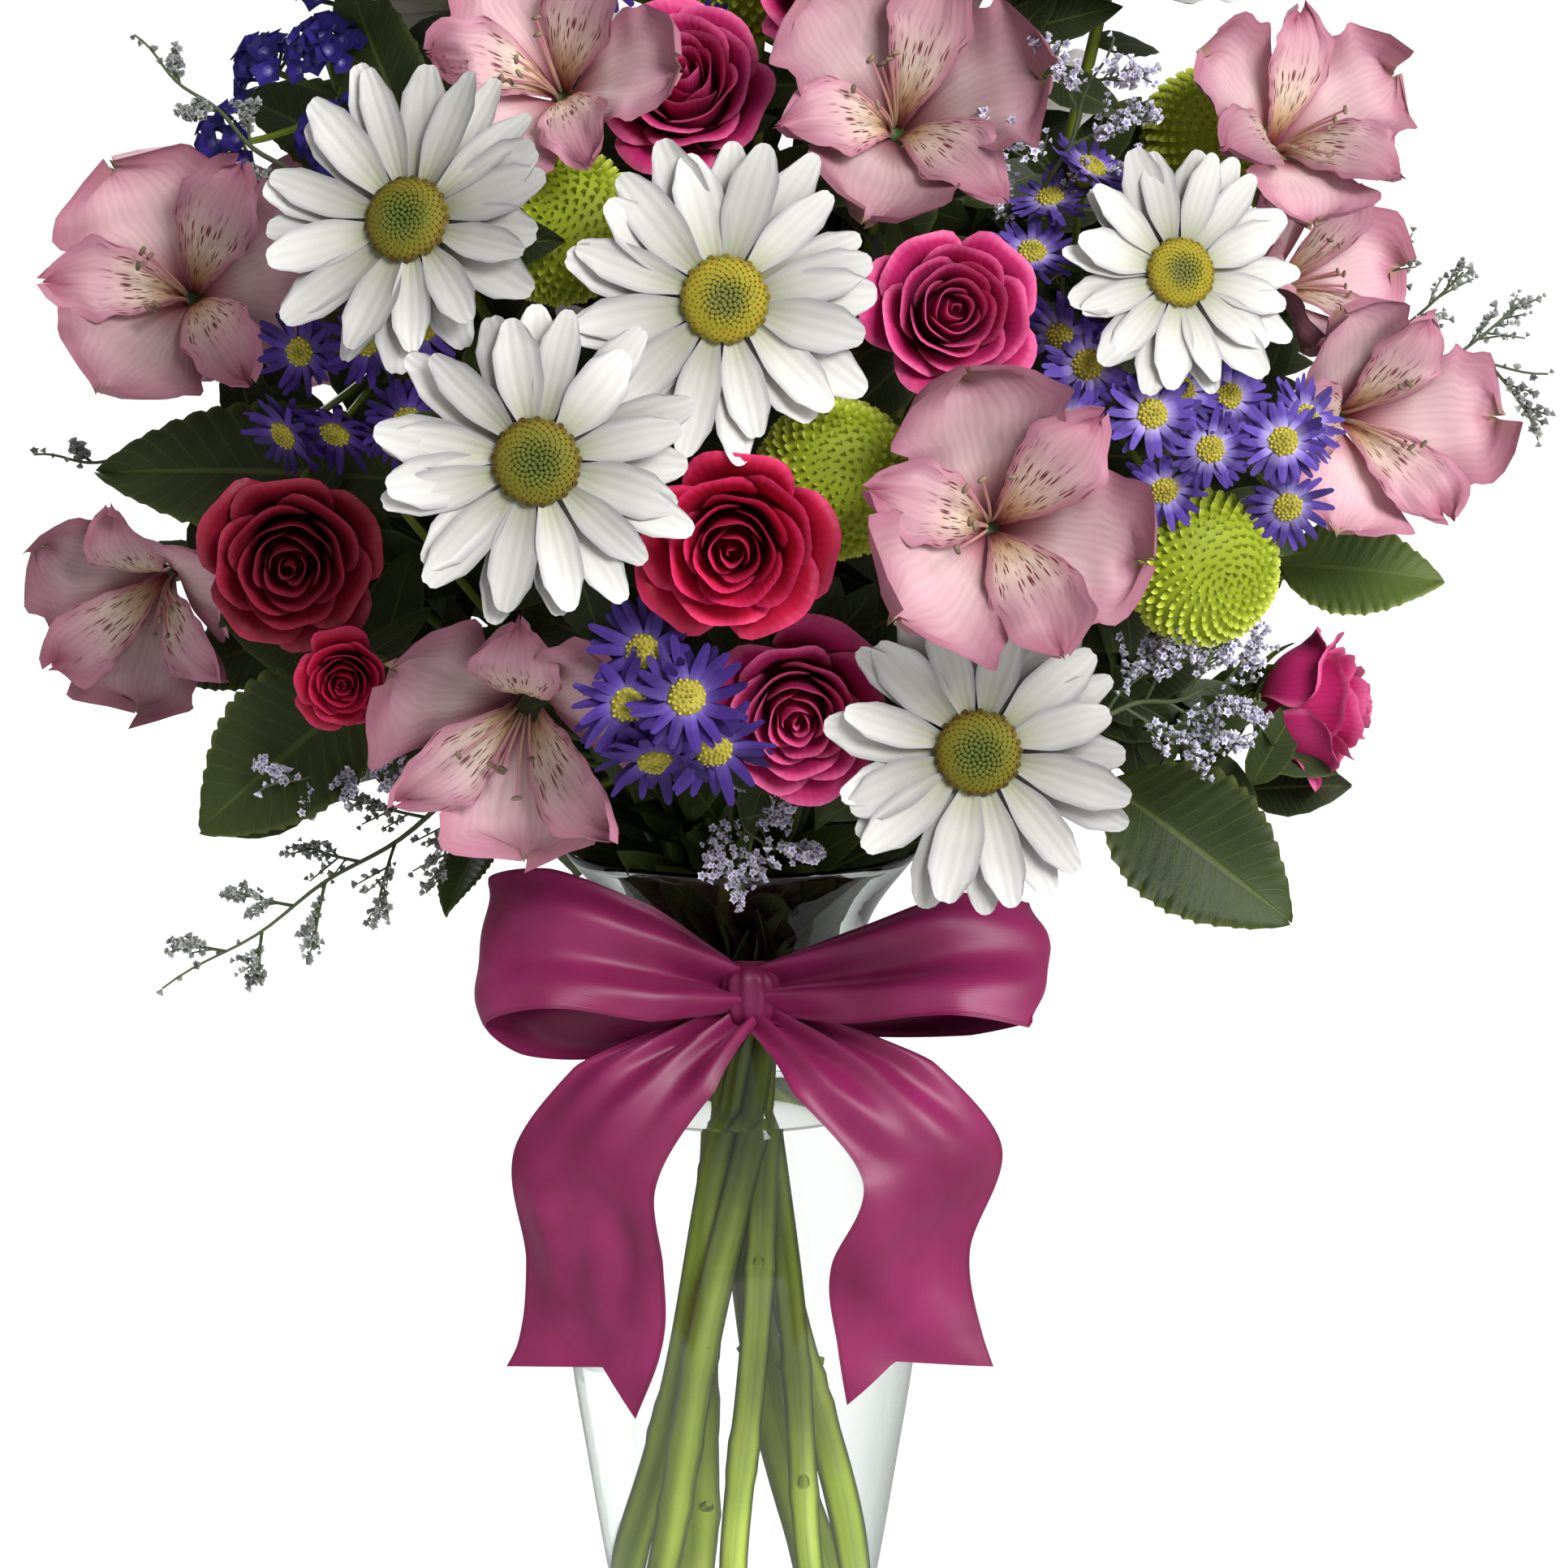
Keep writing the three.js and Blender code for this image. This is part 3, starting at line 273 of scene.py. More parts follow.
def piece(name, parts, slot, *nodes):
    """One object from several (surface, material) pairs, standing for the frame's nodes."""
    whole = joined([surface for surface, _ in parts])
    mesh = bpy.data.meshes.new(name)
    mesh.vertices.add(len(whole.corners))
    mesh.vertices.foreach_set("co", (whole.corners * MM).ravel())
    loops = np.concatenate([whole.quads.ravel(), whole.tris.ravel()])
    starts = np.concatenate([4 * np.arange(len(whole.quads)),
                             4 * len(whole.quads) + 3 * np.arange(len(whole.tris))])
    mesh.loops.add(len(loops))
    mesh.loops.foreach_set("vertex_index", loops)
    mesh.polygons.add(len(starts))
    mesh.polygons.foreach_set("loop_start", starts)
    number = [[np.full(len(kind), i) for i, (surface, _) in enumerate(parts) for kind in [getattr(surface, faces)]]
              for faces in ("quads", "tris")]
    mesh.polygons.foreach_set("material_index", np.concatenate([np.concatenate(kind) for kind in number]))
    mesh.update(calc_edges=True)
    mesh.uv_layers.new(name="across_along").data.foreach_set("uv", whole.uv[loops].ravel())
    mesh.attributes.new("shade", "FLOAT", "POINT").data.foreach_set("value", whole.shade)
    mesh.shade_smooth()
    mesh.set_sharp_from_angle(angle=SHARP_FROM)
    for _, material in parts:
        mesh.materials.append(material)
    made = into_scene(name, mesh)
    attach(made, "root")
    if nodes:
        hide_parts(*nodes)
    print(f"{name}: {2 * len(whole.quads) + len(whole.tris)} triangles")
    return made


def dice(name):
    """A row of random numbers that is always the same for the same name."""
    return np.random.default_rng(zlib.crc32(name.encode()))


# %% [markdown]
# ## Finishes
#
# A petal's colour runs from its base to its rim, its veins are fine lines along it, and no two petals match. All
# petals here share two groups of nodes: one draws lines along the UV's second direction, the other gives a slow
# change over the piece. Each material places them with values of its own, and every constant is set on the shader.


# %% Colours, and small helpers for node trees
def paint(red, green, blue):
    """A colour as a screen shows it, 0 to 255, as the linear values that a shader takes."""
    share = np.array([red, green, blue]) / 255
    linear = np.where(share <= 0.04045, share / 12.92, ((share + 0.055) / 1.055) ** 2.4)
    return (*linear, 1.0)


def add(tree, kind, inputs=None, **settings):
    """A new node with its settings. An input is a value, or another node's socket that is linked to it."""
    made = tree.nodes.new("ShaderNode" + kind)
    for key, value in settings.items():
        setattr(made, key, value)
    for key, value in (inputs or {}).items():
        if isinstance(value, bpy.types.NodeSocket):
            tree.links.new(value, made.inputs[key])
        else:
            made.inputs[key].default_value = value
    return made


def math_of(tree, operation, first, second=0.0):
    """The result of one Math node."""
    return add(tree, "Math", {0: first, 1: second}, operation=operation).outputs[0]


def scaled(tree, value, factor, offset):
    """The value times a factor plus an offset."""
    return add(tree, "Math", {0: value, 1: factor, 2: offset}, operation="MULTIPLY_ADD").outputs[0]


def from_middle(tree, part):
    """How far a UV's part is from the middle, 0 to 0.5."""
    return math_of(tree, "ABSOLUTE", math_of(tree, "SUBTRACT", part, 0.5))


def mixed(tree, share, first, second, blend="MIX"):
    """Two colours mixed by a share."""
    made = add(tree, "Mix", {0: share, 6: first, 7: second}, data_type="RGBA", blend_type=blend)
    return made.outputs[2]


def ramp(tree, value, *stops):
    """A colour for each value, by stops of (place, colour)."""
    made = add(tree, "ValToRGB", {0: value})
    elements = made.color_ramp.elements
    while len(elements) < len(stops):
        elements.new(0.5)
    for element, (place, colour) in zip(elements, stops):
        element.position, element.color = place, colour
    return made.outputs[0]


def grey(value):
    """A grey, given as a shader's own linear value."""
    return (value, value, value, 1)


def new_group(name, inputs, outputs):
    """An empty node group with inputs (name, socket kind, value) and outputs (name, socket kind)."""
    tree = bpy.data.node_groups.new(name, "ShaderNodeTree")
    for label, kind, value in inputs:
        socket = tree.interface.new_socket(name=label, in_out="INPUT", socket_type=kind)
        if value is not None:
            socket.default_value = value
    for label, kind in outputs:
        tree.interface.new_socket(name=label, in_out="OUTPUT", socket_type=kind)
    return tree, tree.nodes.new("NodeGroupInput"), tree.nodes.new("NodeGroupOutput")


# %% The two shared groups
FLOAT, VECTOR = "NodeSocketFloat", "NodeSocketVector"

# Lines along a petal: a cosine of the UV's first part times a count, shifted a little by noise
vein_tree, vein_in, vein_out = new_group(
    "petal_veins", [("UV", VECTOR, None), ("Count", FLOAT, 8.0), ("Wander", FLOAT, 0.1)], [("Lines", FLOAT)])
split = add(vein_tree, "SeparateXYZ", {0: vein_in.outputs["UV"]})
wander = add(vein_tree, "TexNoise", {"Vector": vein_in.outputs["UV"], "Scale": 5.0, "Detail": 2.0})
off = math_of(vein_tree, "SUBTRACT", wander.outputs[0], 0.5)
shifted = math_of(vein_tree, "MULTIPLY", off, vein_in.outputs["Wander"])
place = math_of(vein_tree, "ADD", split.outputs[0], shifted)
turns = math_of(vein_tree, "MULTIPLY", math_of(vein_tree, "MULTIPLY", place, vein_in.outputs["Count"]), TAU)
lines = scaled(vein_tree, math_of(vein_tree, "COSINE", turns), 0.5, 0.5)
vein_tree.links.new(lines, vein_out.inputs["Lines"])

# A slow change over a piece, and a fine grain: two noises on Object coordinates
tone_tree, tone_in, tone_out = new_group(
    "plant_tone", [("Size", FLOAT, 60.0)], [("Slow", FLOAT), ("Fine", FLOAT)])
where = add(tone_tree, "TexCoord").outputs["Object"]
slow = add(tone_tree, "TexNoise", {"Vector": where, "Scale": tone_in.outputs["Size"], "Detail": 2.0})
fine = add(tone_tree, "TexNoise", {"Vector": where, "Scale": 2200.0, "Detail": 1.0})
tone_tree.links.new(slow.outputs[0], tone_out.inputs["Slow"])
tone_tree.links.new(fine.outputs[0], tone_out.inputs["Fine"])
print("node groups:", vein_tree.name, tone_tree.name)


# %% A material with its shader, and the finish that all petals and leaves share
def new_material(name, **constants):
    """A material with one Principled shader, whose constant values are set on its own sockets."""
    made = bpy.data.materials.new(name)
    made.use_nodes = True
    shader = made.node_tree.nodes["Principled BSDF"]
    for label, value in constants.items():
        shader.inputs[label.replace("_", " ")].default_value = value
    return made, made.node_tree, shader


def plant_material(name, along, rim=None, veins=8.0, vein_share=0.25, vein_colour=(0, 0, 0), wander=0.12,
                   spread=0.18, relief=0.12, size=60.0, **constants):
    """Colour by stops (place, red, green, blue) along the petal, another towards its two edges, lines for veins, and
    each petal's own shade."""
    made, tree, shader = new_material(name, **constants)
    uv = add(tree, "UVMap", uv_map="across_along").outputs[0]
    parts = add(tree, "SeparateXYZ", {0: uv})
    tone = add(tree, "Group", {"Size": size}, node_tree=tone_tree)
    lines = add(tree, "Group", {"UV": uv, "Count": veins, "Wander": wander}, node_tree=vein_tree).outputs["Lines"]
    colour = ramp(tree, parts.outputs[1], *[(place, paint(*stop)) for place, *stop in along])
    if rim:
        edge = ramp(tree, from_middle(tree, parts.outputs[0]), (rim[0], grey(0)), (0.5, grey(1)))
        colour = mixed(tree, edge, colour, paint(*rim[1:]))
    colour = mixed(tree, math_of(tree, "MULTIPLY", lines, vein_share), colour, paint(*vein_colour))
    own = math_of(tree, "SUBTRACT", add(tree, "Attribute", attribute_name="shade").outputs["Fac"], 0.5)
    both = math_of(tree, "ADD", own, math_of(tree, "SUBTRACT", tone.outputs["Slow"], 0.5))
    value = scaled(tree, both, spread, 1.0)
    colour = add(tree, "HueSaturation", {"Value": value, "Color": colour}).outputs[0]
    tree.links.new(colour, shader.inputs["Base Color"])
    grain = math_of(tree, "MULTIPLY", tone.outputs["Fine"], 0.3)
    height = math_of(tree, "ADD", math_of(tree, "MULTIPLY", lines, 0.8), grain)
    bump = add(tree, "Bump", {"Strength": relief, "Distance": 0.0006, "Height": height})
    tree.links.new(bump.outputs[0], shader.inputs["Normal"])
    return made, tree, shader, parts


# %% [markdown]
# ## Where things stand
#
# The arrangement is given as a florist would note it: for each bloom its kind, and where the front view shows it, in
# millimetres across from the vase's axis and up from the table. The solids were laid on a dome from the same notes,
# and each was then moved out along the line of sight until it was clear of its neighbours. How far it moved isn't
# noted, so it is found again here: of all the steps it may have taken, the one whose corners meet the solid's own.

# %% The arrangement
AIM = np.array([10.0, 0.0, 210.0])
EYE_DISTANCE, EYE_LIFT = 1400.0, math.radians(10)
EYE = AIM + EYE_DISTANCE * np.array([0, -math.cos(EYE_LIFT), math.sin(EYE_LIFT)])
DOME_MIDDLE = np.array([4.0, 0.0, 290.0])
DOME_HALF = np.array([150.0, 102.0, 116.0])
AXIS_SHARE = 0.8
FRONT, BACK = -1, 1
RADIUS = {"daisy": 37, "rose": 20, "lily": 34, "button": 17.5, "asters": 9.5}
SEAT = {"daisy": 0.55, "rose": 16, "lily": 21.5, "button": 12.25, "asters": 26}
GAP = 0.45


def bloom(name, kind, across, up, **more):
    """A note on one bloom. Size is a share of the kind's own, roll and lean are in degrees, and tone names a finish."""
    usual = dict(size=1.0, inner=0.0, roll=0.0, lean=(0, 0), heads=4, spread=1.0, tone=kind)
    return SimpleNamespace(name=name, kind=kind, across=across, up=up, **{**usual, **more})


BLOOMS = [
    bloom("button_mum_left", "button", -42, 342, inner=12),
    bloom("button_mum_upper_right", "button", 109, 361, inner=30),
    bloom("button_mum_right", "button", 108, 262, inner=8),
    bloom("button_mum_centre", "button", 22, 283, inner=16),
    bloom("button_mum_top", "button", 4, 401, inner=2),
    bloom("rose_top_left", "rose", -13, 375, roll=20),
    bloom("rose_right", "rose", 49, 322, size=0.98, roll=80),
    bloom("rose_centre", "rose", -2, 267, size=1.08, roll=130, tone="red_rose"),
    bloom("rose_low", "rose", 13, 227, roll=200, lean=(0, 8)),
    bloom("rose_left", "rose", -106, 264, size=1.05, roll=60, lean=(22, 0), tone="crimson_rose"),
    bloom("rose_bud_left", "rose", -94, 235, size=0.56, lean=(18, 8), tone="red_rose"),
    bloom("rose_far_right", "rose", 137, 229, size=0.95, roll=40, lean=(44, 26)),
    bloom("rose_top", "rose", 22, 398, size=0.92, roll=10),
    bloom("lily_side_right", "lily", 133, 331, size=0.72, inner=34),
    bloom("lily_left", "lily", -130, 329, lean=(34, 0)),
    bloom("lily_far_left", "lily", -141, 254, size=0.86, lean=(26, 0), roll=30),
    bloom("lily_low_left", "lily", -54, 223, roll=25),
    bloom("lily_right", "lily", 62, 272, size=1.05, roll=-15, lean=(0, 10)),
    bloom("lily_top", "lily", 38, 370, roll=10),
    bloom("lily_top_left", "lily", -44, 378, size=0.9, inner=8),
    bloom("lily_upper_right", "lily", 129, 366, size=0.86, roll=20, lean=(-8, 0)),
    bloom("lily_far_right", "lily", 148, 297, size=0.92, lean=(-12, 0)),
    bloom("aster_left", "asters", -92, 311, heads=5, inner=4),
    bloom("aster_low", "asters", -17, 227, heads=3, spread=0.8, inner=-4),
    bloom("aster_upper_right", "asters", 82, 334),
    bloom("aster_right", "asters", 91, 294, inner=-2),
    bloom("aster_far_right", "asters", 123, 288, heads=3, spread=0.9),
    bloom("aster_top", "asters", -19, 401, heads=3, inner=4),
    bloom("statice_upper_left", "asters", -104, 382, heads=5, spread=1.15, tone="statice"),
    bloom("daisy_top_left", "daisy", -65, 405, lean=(0, 24)),
    bloom("daisy_top_right", "daisy", 86, 405, lean=(0, 24)),
    bloom("daisy_upper_left", "daisy", -77, 343, lean=(-8, 6)),
    bloom("daisy_right", "daisy", 102, 331, size=0.8),
    bloom("daisy_centre_left", "daisy", -48, 287, lean=(6, 0)),
    bloom("daisy_centre", "daisy", -4, 325, lean=(6, -6)),
    bloom("daisy_low_right", "daisy", 56, 218, lean=(-8, 14)),
]
BACK_SPRAYS = [
    ("buttons_back", "button", [(-38, 236), (66, 294)]),
    ("roses_back", "rose", [(-18, 344), (98, 250)]),
    ("lilies_back", "lily", [(30, 398), (-112, 322), (20, 232)]),
    ("asters_back", "asters", [(12, 296)]),
    ("daisies_back", "daisy", [(-62, 292), (62, 352), (-62, 392)]),
]
print("arrangement:", len(BLOOMS), "in front,", len(BACK_SPRAYS), "sprays at the back")


# %% From a note to a spot
def seen_at(across, up, depth):
    """The point at a given depth on the line from (across, 0, up) to the eye."""
    on_plane = np.array([across, 0.0, up])
    return on_plane + (EYE - on_plane) * (depth / EYE[1])


def dome_depth(across, up, side, inner=0.0):
    """The dome's depth there: half its depth times the root of 1 less the squared shares across and up."""
    room = 1 - ((across - DOME_MIDDLE[0]) / DOME_HALF[0]) ** 2 - ((up - DOME_MIDDLE[2]) / DOME_HALF[2]) ** 2
    return side * (DOME_HALF[1] * math.sqrt(max(room, 0.01)) - inner)


def facing(place, side, lean=(0, 0)):
    """The dome's outward direction bent towards the front or the back, then turned and lifted by the lean."""
    look = unit(unit((place - DOME_MIDDLE) / DOME_HALF ** 2) + np.array([0, AXIS_SHARE * side, 0]))
    turn = math.atan2(look[0], -look[1]) + math.radians(lean[0])
    lift = math.asin(look[2]) + math.radians(lean[1])
    return np.array([math.sin(turn) * math.cos(lift), -math.cos(turn) * math.cos(lift), math.sin(lift)])


def spot_of(place, look, roll=0.0):
    """A bloom's axes in rows, its own third axis along its look, and its middle."""
    right = unit(np.cross([0, 0, 1], look))
    upward = np.cross(look, right)
    turn = math.radians(roll)
    first = math.cos(turn) * right + math.sin(turn) * upward
    second = math.cos(turn) * upward - math.sin(turn) * right
    return np.array([first, second, look]), np.asarray(place, float)


def aster_places(heads, spread):
    """The middles of small heads on a low dome, by the golden angle, and the way each looks."""
    i = np.arange(heads)
    away = 11 * spread * np.sqrt(i + 0.3)
    places = round_points(away, GOLDEN * i + 0.6, -0.008 * away ** 2 - 4 * (i % 3))
    return places, unit(places * [0.03, 0.03, 0] + [0, 0, 1])


def probe_points(kind, size, heads=4, spread=1.0):
    """Corners that the kind's solid has, in its own axes."""
    r = RADIUS[kind] * size
    if kind == "daisy":
        i = np.arange(16)
        return round_points(r * np.where(i % 2, 0.94, 1), i * pi / 8, size * np.where(i % 2, 7.4, 5.4))
    if kind == "rose":
        return round_points(1.02 * r, pi / 2 - np.arange(10) * pi / 5, 0.12 * r)
    if kind == "lily":
        i = np.arange(6)
        return round_points(r * np.where(i % 2, 0.98, 1), i * pi / 3, r * np.where(i % 2, 0.28, 0.08))
    if kind == "button":
        return round_points(1.07 * r, pi / 2 - np.arange(0, 12, 2) * pi / 6, 0.21 * r)
    places, looks = aster_places(heads, spread)
    i = np.arange(0, 14, 2)
    star = round_points(r, i * pi / 7, 1 + 0.5 * (i % 4))
    return np.concatenate([star @ spot_of(place, look)[0] + place for place, look in zip(places, looks)])


def corners_of(node):
    """The corners of a node's solid, in millimetres."""
    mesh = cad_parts[node].data
    flat = np.empty(3 * len(mesh.vertices))
    mesh.vertices.foreach_get("co", flat)
    return np.unique(np.round(flat.reshape(-1, 3) / MM, 3), axis=0)


def best_of(ways, probes_for, cloud):
    """Of several ways, the one whose probe points lie nearest to the corners of a solid, by their middle gap."""
    gaps = []
    for way in ways:
        far = np.linalg.norm(probes_for(way)[:, None] - cloud[None], axis=2).min(axis=1)
        gaps.append(np.median(far))
    best = int(np.argmin(gaps))
    return ways[best], gaps[best]


FURTHER = list(range(0, 34, 2))  # How many millimetres a bloom may have moved out


def settle(note, side, node):
    """The spot of a bloom, with the step that fits its solid."""
    depth = dome_depth(note.across, note.up, side, note.inner)

    def spot_at(further):
        """The spot after one such move, along the line of sight in front and straight out at the back."""
        far = depth + side * further
        at = (note.across, far, note.up)
        place = seen_at(note.across, note.up, far) if side == FRONT else np.array(at, float)
        look = facing(place, side, note.lean)
        return spot_of(place, look, note.roll)

    probes = probe_points(note.kind, note.size, note.heads, note.spread)
    cloud = corners_of(node)
    further, gap = best_of(FURTHER, lambda way: probes @ spot_at(way)[0] + spot_at(way)[1], cloud)
    return spot_at(further), gap


worst = []
for note in BLOOMS:
    note.spot, gap = settle(note, FRONT, note.name + ("_petals" if note.kind == "daisy" else ""))
    worst.append((gap, note.name))
back_notes = {}
for name, kind, heads in BACK_SPRAYS:
    back_notes[name] = [bloom(f"{name}_{i}", kind, *at, heads=5) for i, at in enumerate(heads)]
    for note in back_notes[name]:
        note.spot, gap = settle(note, BACK, name)
        worst.append((gap, note.name))
print("settled: largest middle gaps in mm", sorted(worst)[-4:])

# %% [markdown]
# ## The vase
#
# The vase is blown glass: a thick foot, a belly, a drawn-in neck and a lip that flares. The frame has it as a many
# sided body with straight steps, so this one runs a smooth curve through the same stops and turns it in many more
# steps. Its inside is a second curve, and both close on the axis, so the glass is one solid wall that bends light.


# %% Smooth curves through stops
def through(stops, count):
    """A smooth curve through stops, by the centripetal Catmull-Rom rule: each span is a cubic whose slopes come
    from the spans beside it, weighted by the square roots of their lengths. Count points, evenly in parameter."""
    stops = np.asarray(stops, float)
    points = np.concatenate([[2 * stops[0] - stops[1]], stops, [2 * stops[-1] - stops[-2]]])
    along = np.linspace(0, len(stops) - 1, count)
    span = np.minimum(along.astype(int), len(stops) - 2)
    t = (along - span)[:, None]
    a, b, c, d = (points[span + k] for k in range(4))
    d0, d1, d2 = (np.sqrt(np.linalg.norm(q - p, axis=1))[:, None] for p, q in ((a, b), (b, c), (c, d)))
    slope_b = ((b - a) / d0 - (c - a) / (d0 + d1) + (c - b) / d1) * d1
    slope_c = ((c - b) / d1 - (d - b) / (d1 + d2) + (d - c) / d2) * d1
    return (b + slope_b * t + (3 * (c - b) - 2 * slope_b - slope_c) * t ** 2
            + (2 * (b - c) + slope_b + slope_c) * t ** 3)


def bezier(first, second, third, t):
    """A curve with one bend: (1-t)^2 of the first point, 2t(1-t) of the second and t^2 of the third."""
    t = np.asarray(t, float)[..., None]
    return (1 - t) ** 2 * first + 2 * t * (1 - t) * second + t ** 2 * third


# %% Glass
BASE_THICKNESS, WATER_LEVEL, NECK_HEIGHT = 9.0, 132.0, 163.0
outer_stops = [(28, 0.4), (30, 5), (37, 43), (42.5, 82), (42, 102), (36.5, 128), (29.5, 150), (27, 163), (31, 179),
               (42.6, 195)]
inner_stops = [(25, BASE_THICKNESS), (27.6, 11.5), (34.4, 43), (39.9, 82), (39.4, 102), (33.9, 128), (26.9, 150),
               (24.4, 163), (28.4, 179), (40.6, 195)]
outer_wall, inner_wall = through(outer_stops, 70), through(inner_stops, 60)

VASE_SIDES = 104


def clear_material(name, tint, shadow_tint, **constants):
    """A body that light bends through. To light on its way to other things it is nearly clear, so that they aren't
    in the dark behind it."""
    made, tree, shader = new_material(name, Base_Color=tint, Roughness=0.0, Transmission_Weight=1.0, **constants)
    clear = add(tree, "BsdfTransparent", {"Color": shadow_tint})
    shadow_ray = add(tree, "LightPath").outputs["Is Shadow Ray"]
    either = add(tree, "MixShader", {0: shadow_ray, 1: shader.outputs[0], 2: clear.outputs[0]})
    tree.links.new(either.outputs[0], tree.nodes["Material Output"].inputs[0])
    return made, tree, shader


CLEAR_GLASS = (0.985, 1.0, 0.993, 1)
glass, glass_tree, glass_shader = clear_material("vase_glass", CLEAR_GLASS, (0.95, 0.975, 0.965, 1), IOR=1.46)
# Along the wall there is more glass to look through, so it darkens towards the vase's sides. The darkening is
# partly that longer way through the glass and partly painted shade at the vase's edges
grazing = add(glass_tree, "LayerWeight", {"Blend": 0.5}).outputs["Facing"]
glass_tree.links.new(ramp(glass_tree, grazing, (0.2, CLEAR_GLASS), (0.5, (0.58, 0.62, 0.6, 1)),
                          (0.97, (0.16, 0.2, 0.18, 1))), glass_shader.inputs["Base Color"])

lip = np.array([(42.4, 195.7), (41.7, 196.0), (41.0, 195.7)])
vase_profile = np.concatenate([[(0, 0)], [(27.2, 0)], outer_wall, lip, inner_wall[::-1], [(0, BASE_THICKNESS)]])
piece("vase_glass", [(turned(vase_profile, VASE_SIDES), glass)], "glass", "vase")

# %% [markdown]
# ## The water
#
# Water in glass looks right only where no film of air is left between the two. So the water's side runs just into
# the glass wall rather than against it, and its top curls up at the edge, as water does where it wets glass.

# %% Water
INTO_WALL, CURL = 0.12, 1.6
water = clear_material("clear_water", (0.99, 1.0, 0.985, 1), (0.97, 0.99, 0.98, 1), IOR=1.333,
                       Specular_IOR_Level=0.15)[0]
wetted = inner_wall[inner_wall[:, 1] < WATER_LEVEL - 1] + [INTO_WALL, 0]
wetted[0] = (24.9, BASE_THICKNESS - INTO_WALL)
rim_radius = np.interp(WATER_LEVEL, inner_wall[:, 1], inner_wall[:, 0])
share = np.linspace(1, 0, 14)[:-1]
top = np.stack([(rim_radius + INTO_WALL) * share,
                WATER_LEVEL + CURL * np.exp(-(1 - share) * rim_radius / CURL)], -1)
water_profile = np.concatenate([[(0, BASE_THICKNESS - INTO_WALL)], wetted, top, [(0, WATER_LEVEL)]])
piece("vase_water", [(turned(water_profile, VASE_SIDES), water)], "water", "water")

# %% [markdown]
# ## Stems
#
# Seven main stems spiral through the neck, as in a hand-tied bouquet, and every bloom's own stem forks from one of
# them. The solids' stems took the first of several bends that was clear of the blooms. Which one is found as the
# blooms' steps were: by the corners that it would have. The real stems are round and ridged, with a swelling where
# a leaf was stripped off, and the cut foot is pale.

# %% Main stems and forks
NECK_RING, FLOOR_RING, CROWN_RING, CROWN_HEIGHT, STEM_FOOT = 8.3, 21.5, 24.0, 218.0, 11.0
SPIRAL = math.radians(125)
MAIN_RADIUS, TWIG_RADIUS = 4.4, 1.5
MAIN_STEMS, AT_NECK = 7, 0.76
main_turns = np.arange(MAIN_STEMS) * TAU / MAIN_STEMS + 0.5
feet = round_points(FLOOR_RING, main_turns - SPIRAL, STEM_FOOT)
necks = round_points(NECK_RING, main_turns, NECK_HEIGHT)
crowns = round_points(CROWN_RING, main_turns + 0.5, CROWN_HEIGHT)


def fork_for(place):
    """Where a side stem leaves: on the main stem nearest its direction, higher up for a low bloom."""
    nearest = int(np.argmax(crowns[:, 0] * place[0] + crowns[:, 1] * place[1]))
    share = np.clip(1 - (place[2] - 225) / 180, 0.2, 1)
    return necks[nearest] + (crowns[nearest] - necks[nearest]) * share


def ring_probe(before, middle, after, radius, sides):
    """The ring of corners that a stalk's solid has at its middle point."""
    return middle + radius * square_ring(unit(after - before), np.arange(sides) * TAU / sides)


stem_cloud = corners_of("stems_and_leaves")
CUP = {"daisy": 6.5, "rose": 5.5, "lily": 3.6, "button": 5.2, "asters": 1.6}


def side_path(note):
    """The bend of a bloom's stem that fits the solid, as a curve from the seat to the fork."""
    axes, place = note.spot
    look = axes[2]
    seat = place - look * (SEAT[note.kind] * note.size + GAP)
    fork = fork_for(seat)
    aside = unit(np.cross(look, [0, 0, 1]))
    ways = [(straight, side) for straight in (0.42, 0.3, 0.55, 0.2, 0.7) for side in (0, 12, -12, 24, -24)]

    def bend(way):
        """The bend that goes back a share of the way from the seat, and then aside."""
        return seat - look * way[0] * np.linalg.norm(seat - fork) + aside * way[1]

    sides = 4 if CUP[note.kind] * note.size > 6 else 3
    way, gap = best_of(ways, lambda w: ring_probe(seat - 5 * look, bezier(seat, bend(w), fork, 0.5), fork,
                                                  TWIG_RADIUS, sides), stem_cloud)
    return (seat, bend(way), fork), gap


gaps = []
for note in BLOOMS:
    note.stem, gap = side_path(note)
    gaps.append((round(gap, 2), note.name))
print("side stems: largest gaps in mm", sorted(gaps)[-3:])

# %% [markdown]
# A stem's bark is a light green that turns darker in patches, with painted shade towards its sides, fine ridges
# along it and a waxy sheen. The UV of a tube runs round it and then along it, so the shared veins make the ridges.

# %% Stem finish and stems
stem_green, stem_tree, stem_shader, _ = plant_material(
    "stem_green", [(0, 190, 198, 104), (0.05, 162, 176, 58), (0.5, 138, 154, 48), (1, 64, 86, 30)],
    veins=5.0, vein_share=0.4, vein_colour=(50, 78, 18), wander=0.08, spread=0.7, relief=0.12,
    Roughness=0.42, Specular_IOR_Level=0.45)
# Painted shade: towards the stem's sides, where its face turns from the view, the colour is multiplied darker
stem_edge = add(stem_tree, "LayerWeight", {"Blend": 0.35}).outputs["Facing"]
stem_lit = stem_shader.inputs["Base Color"].links[0].from_socket
stem_side_shade = ramp(stem_tree, stem_edge, (0.15, grey(1)), (0.6, paint(88, 100, 58)))
stem_tree.links.new(mixed(stem_tree, 1.0, stem_lit, stem_side_shade, "MULTIPLY"), stem_shader.inputs["Base Color"])

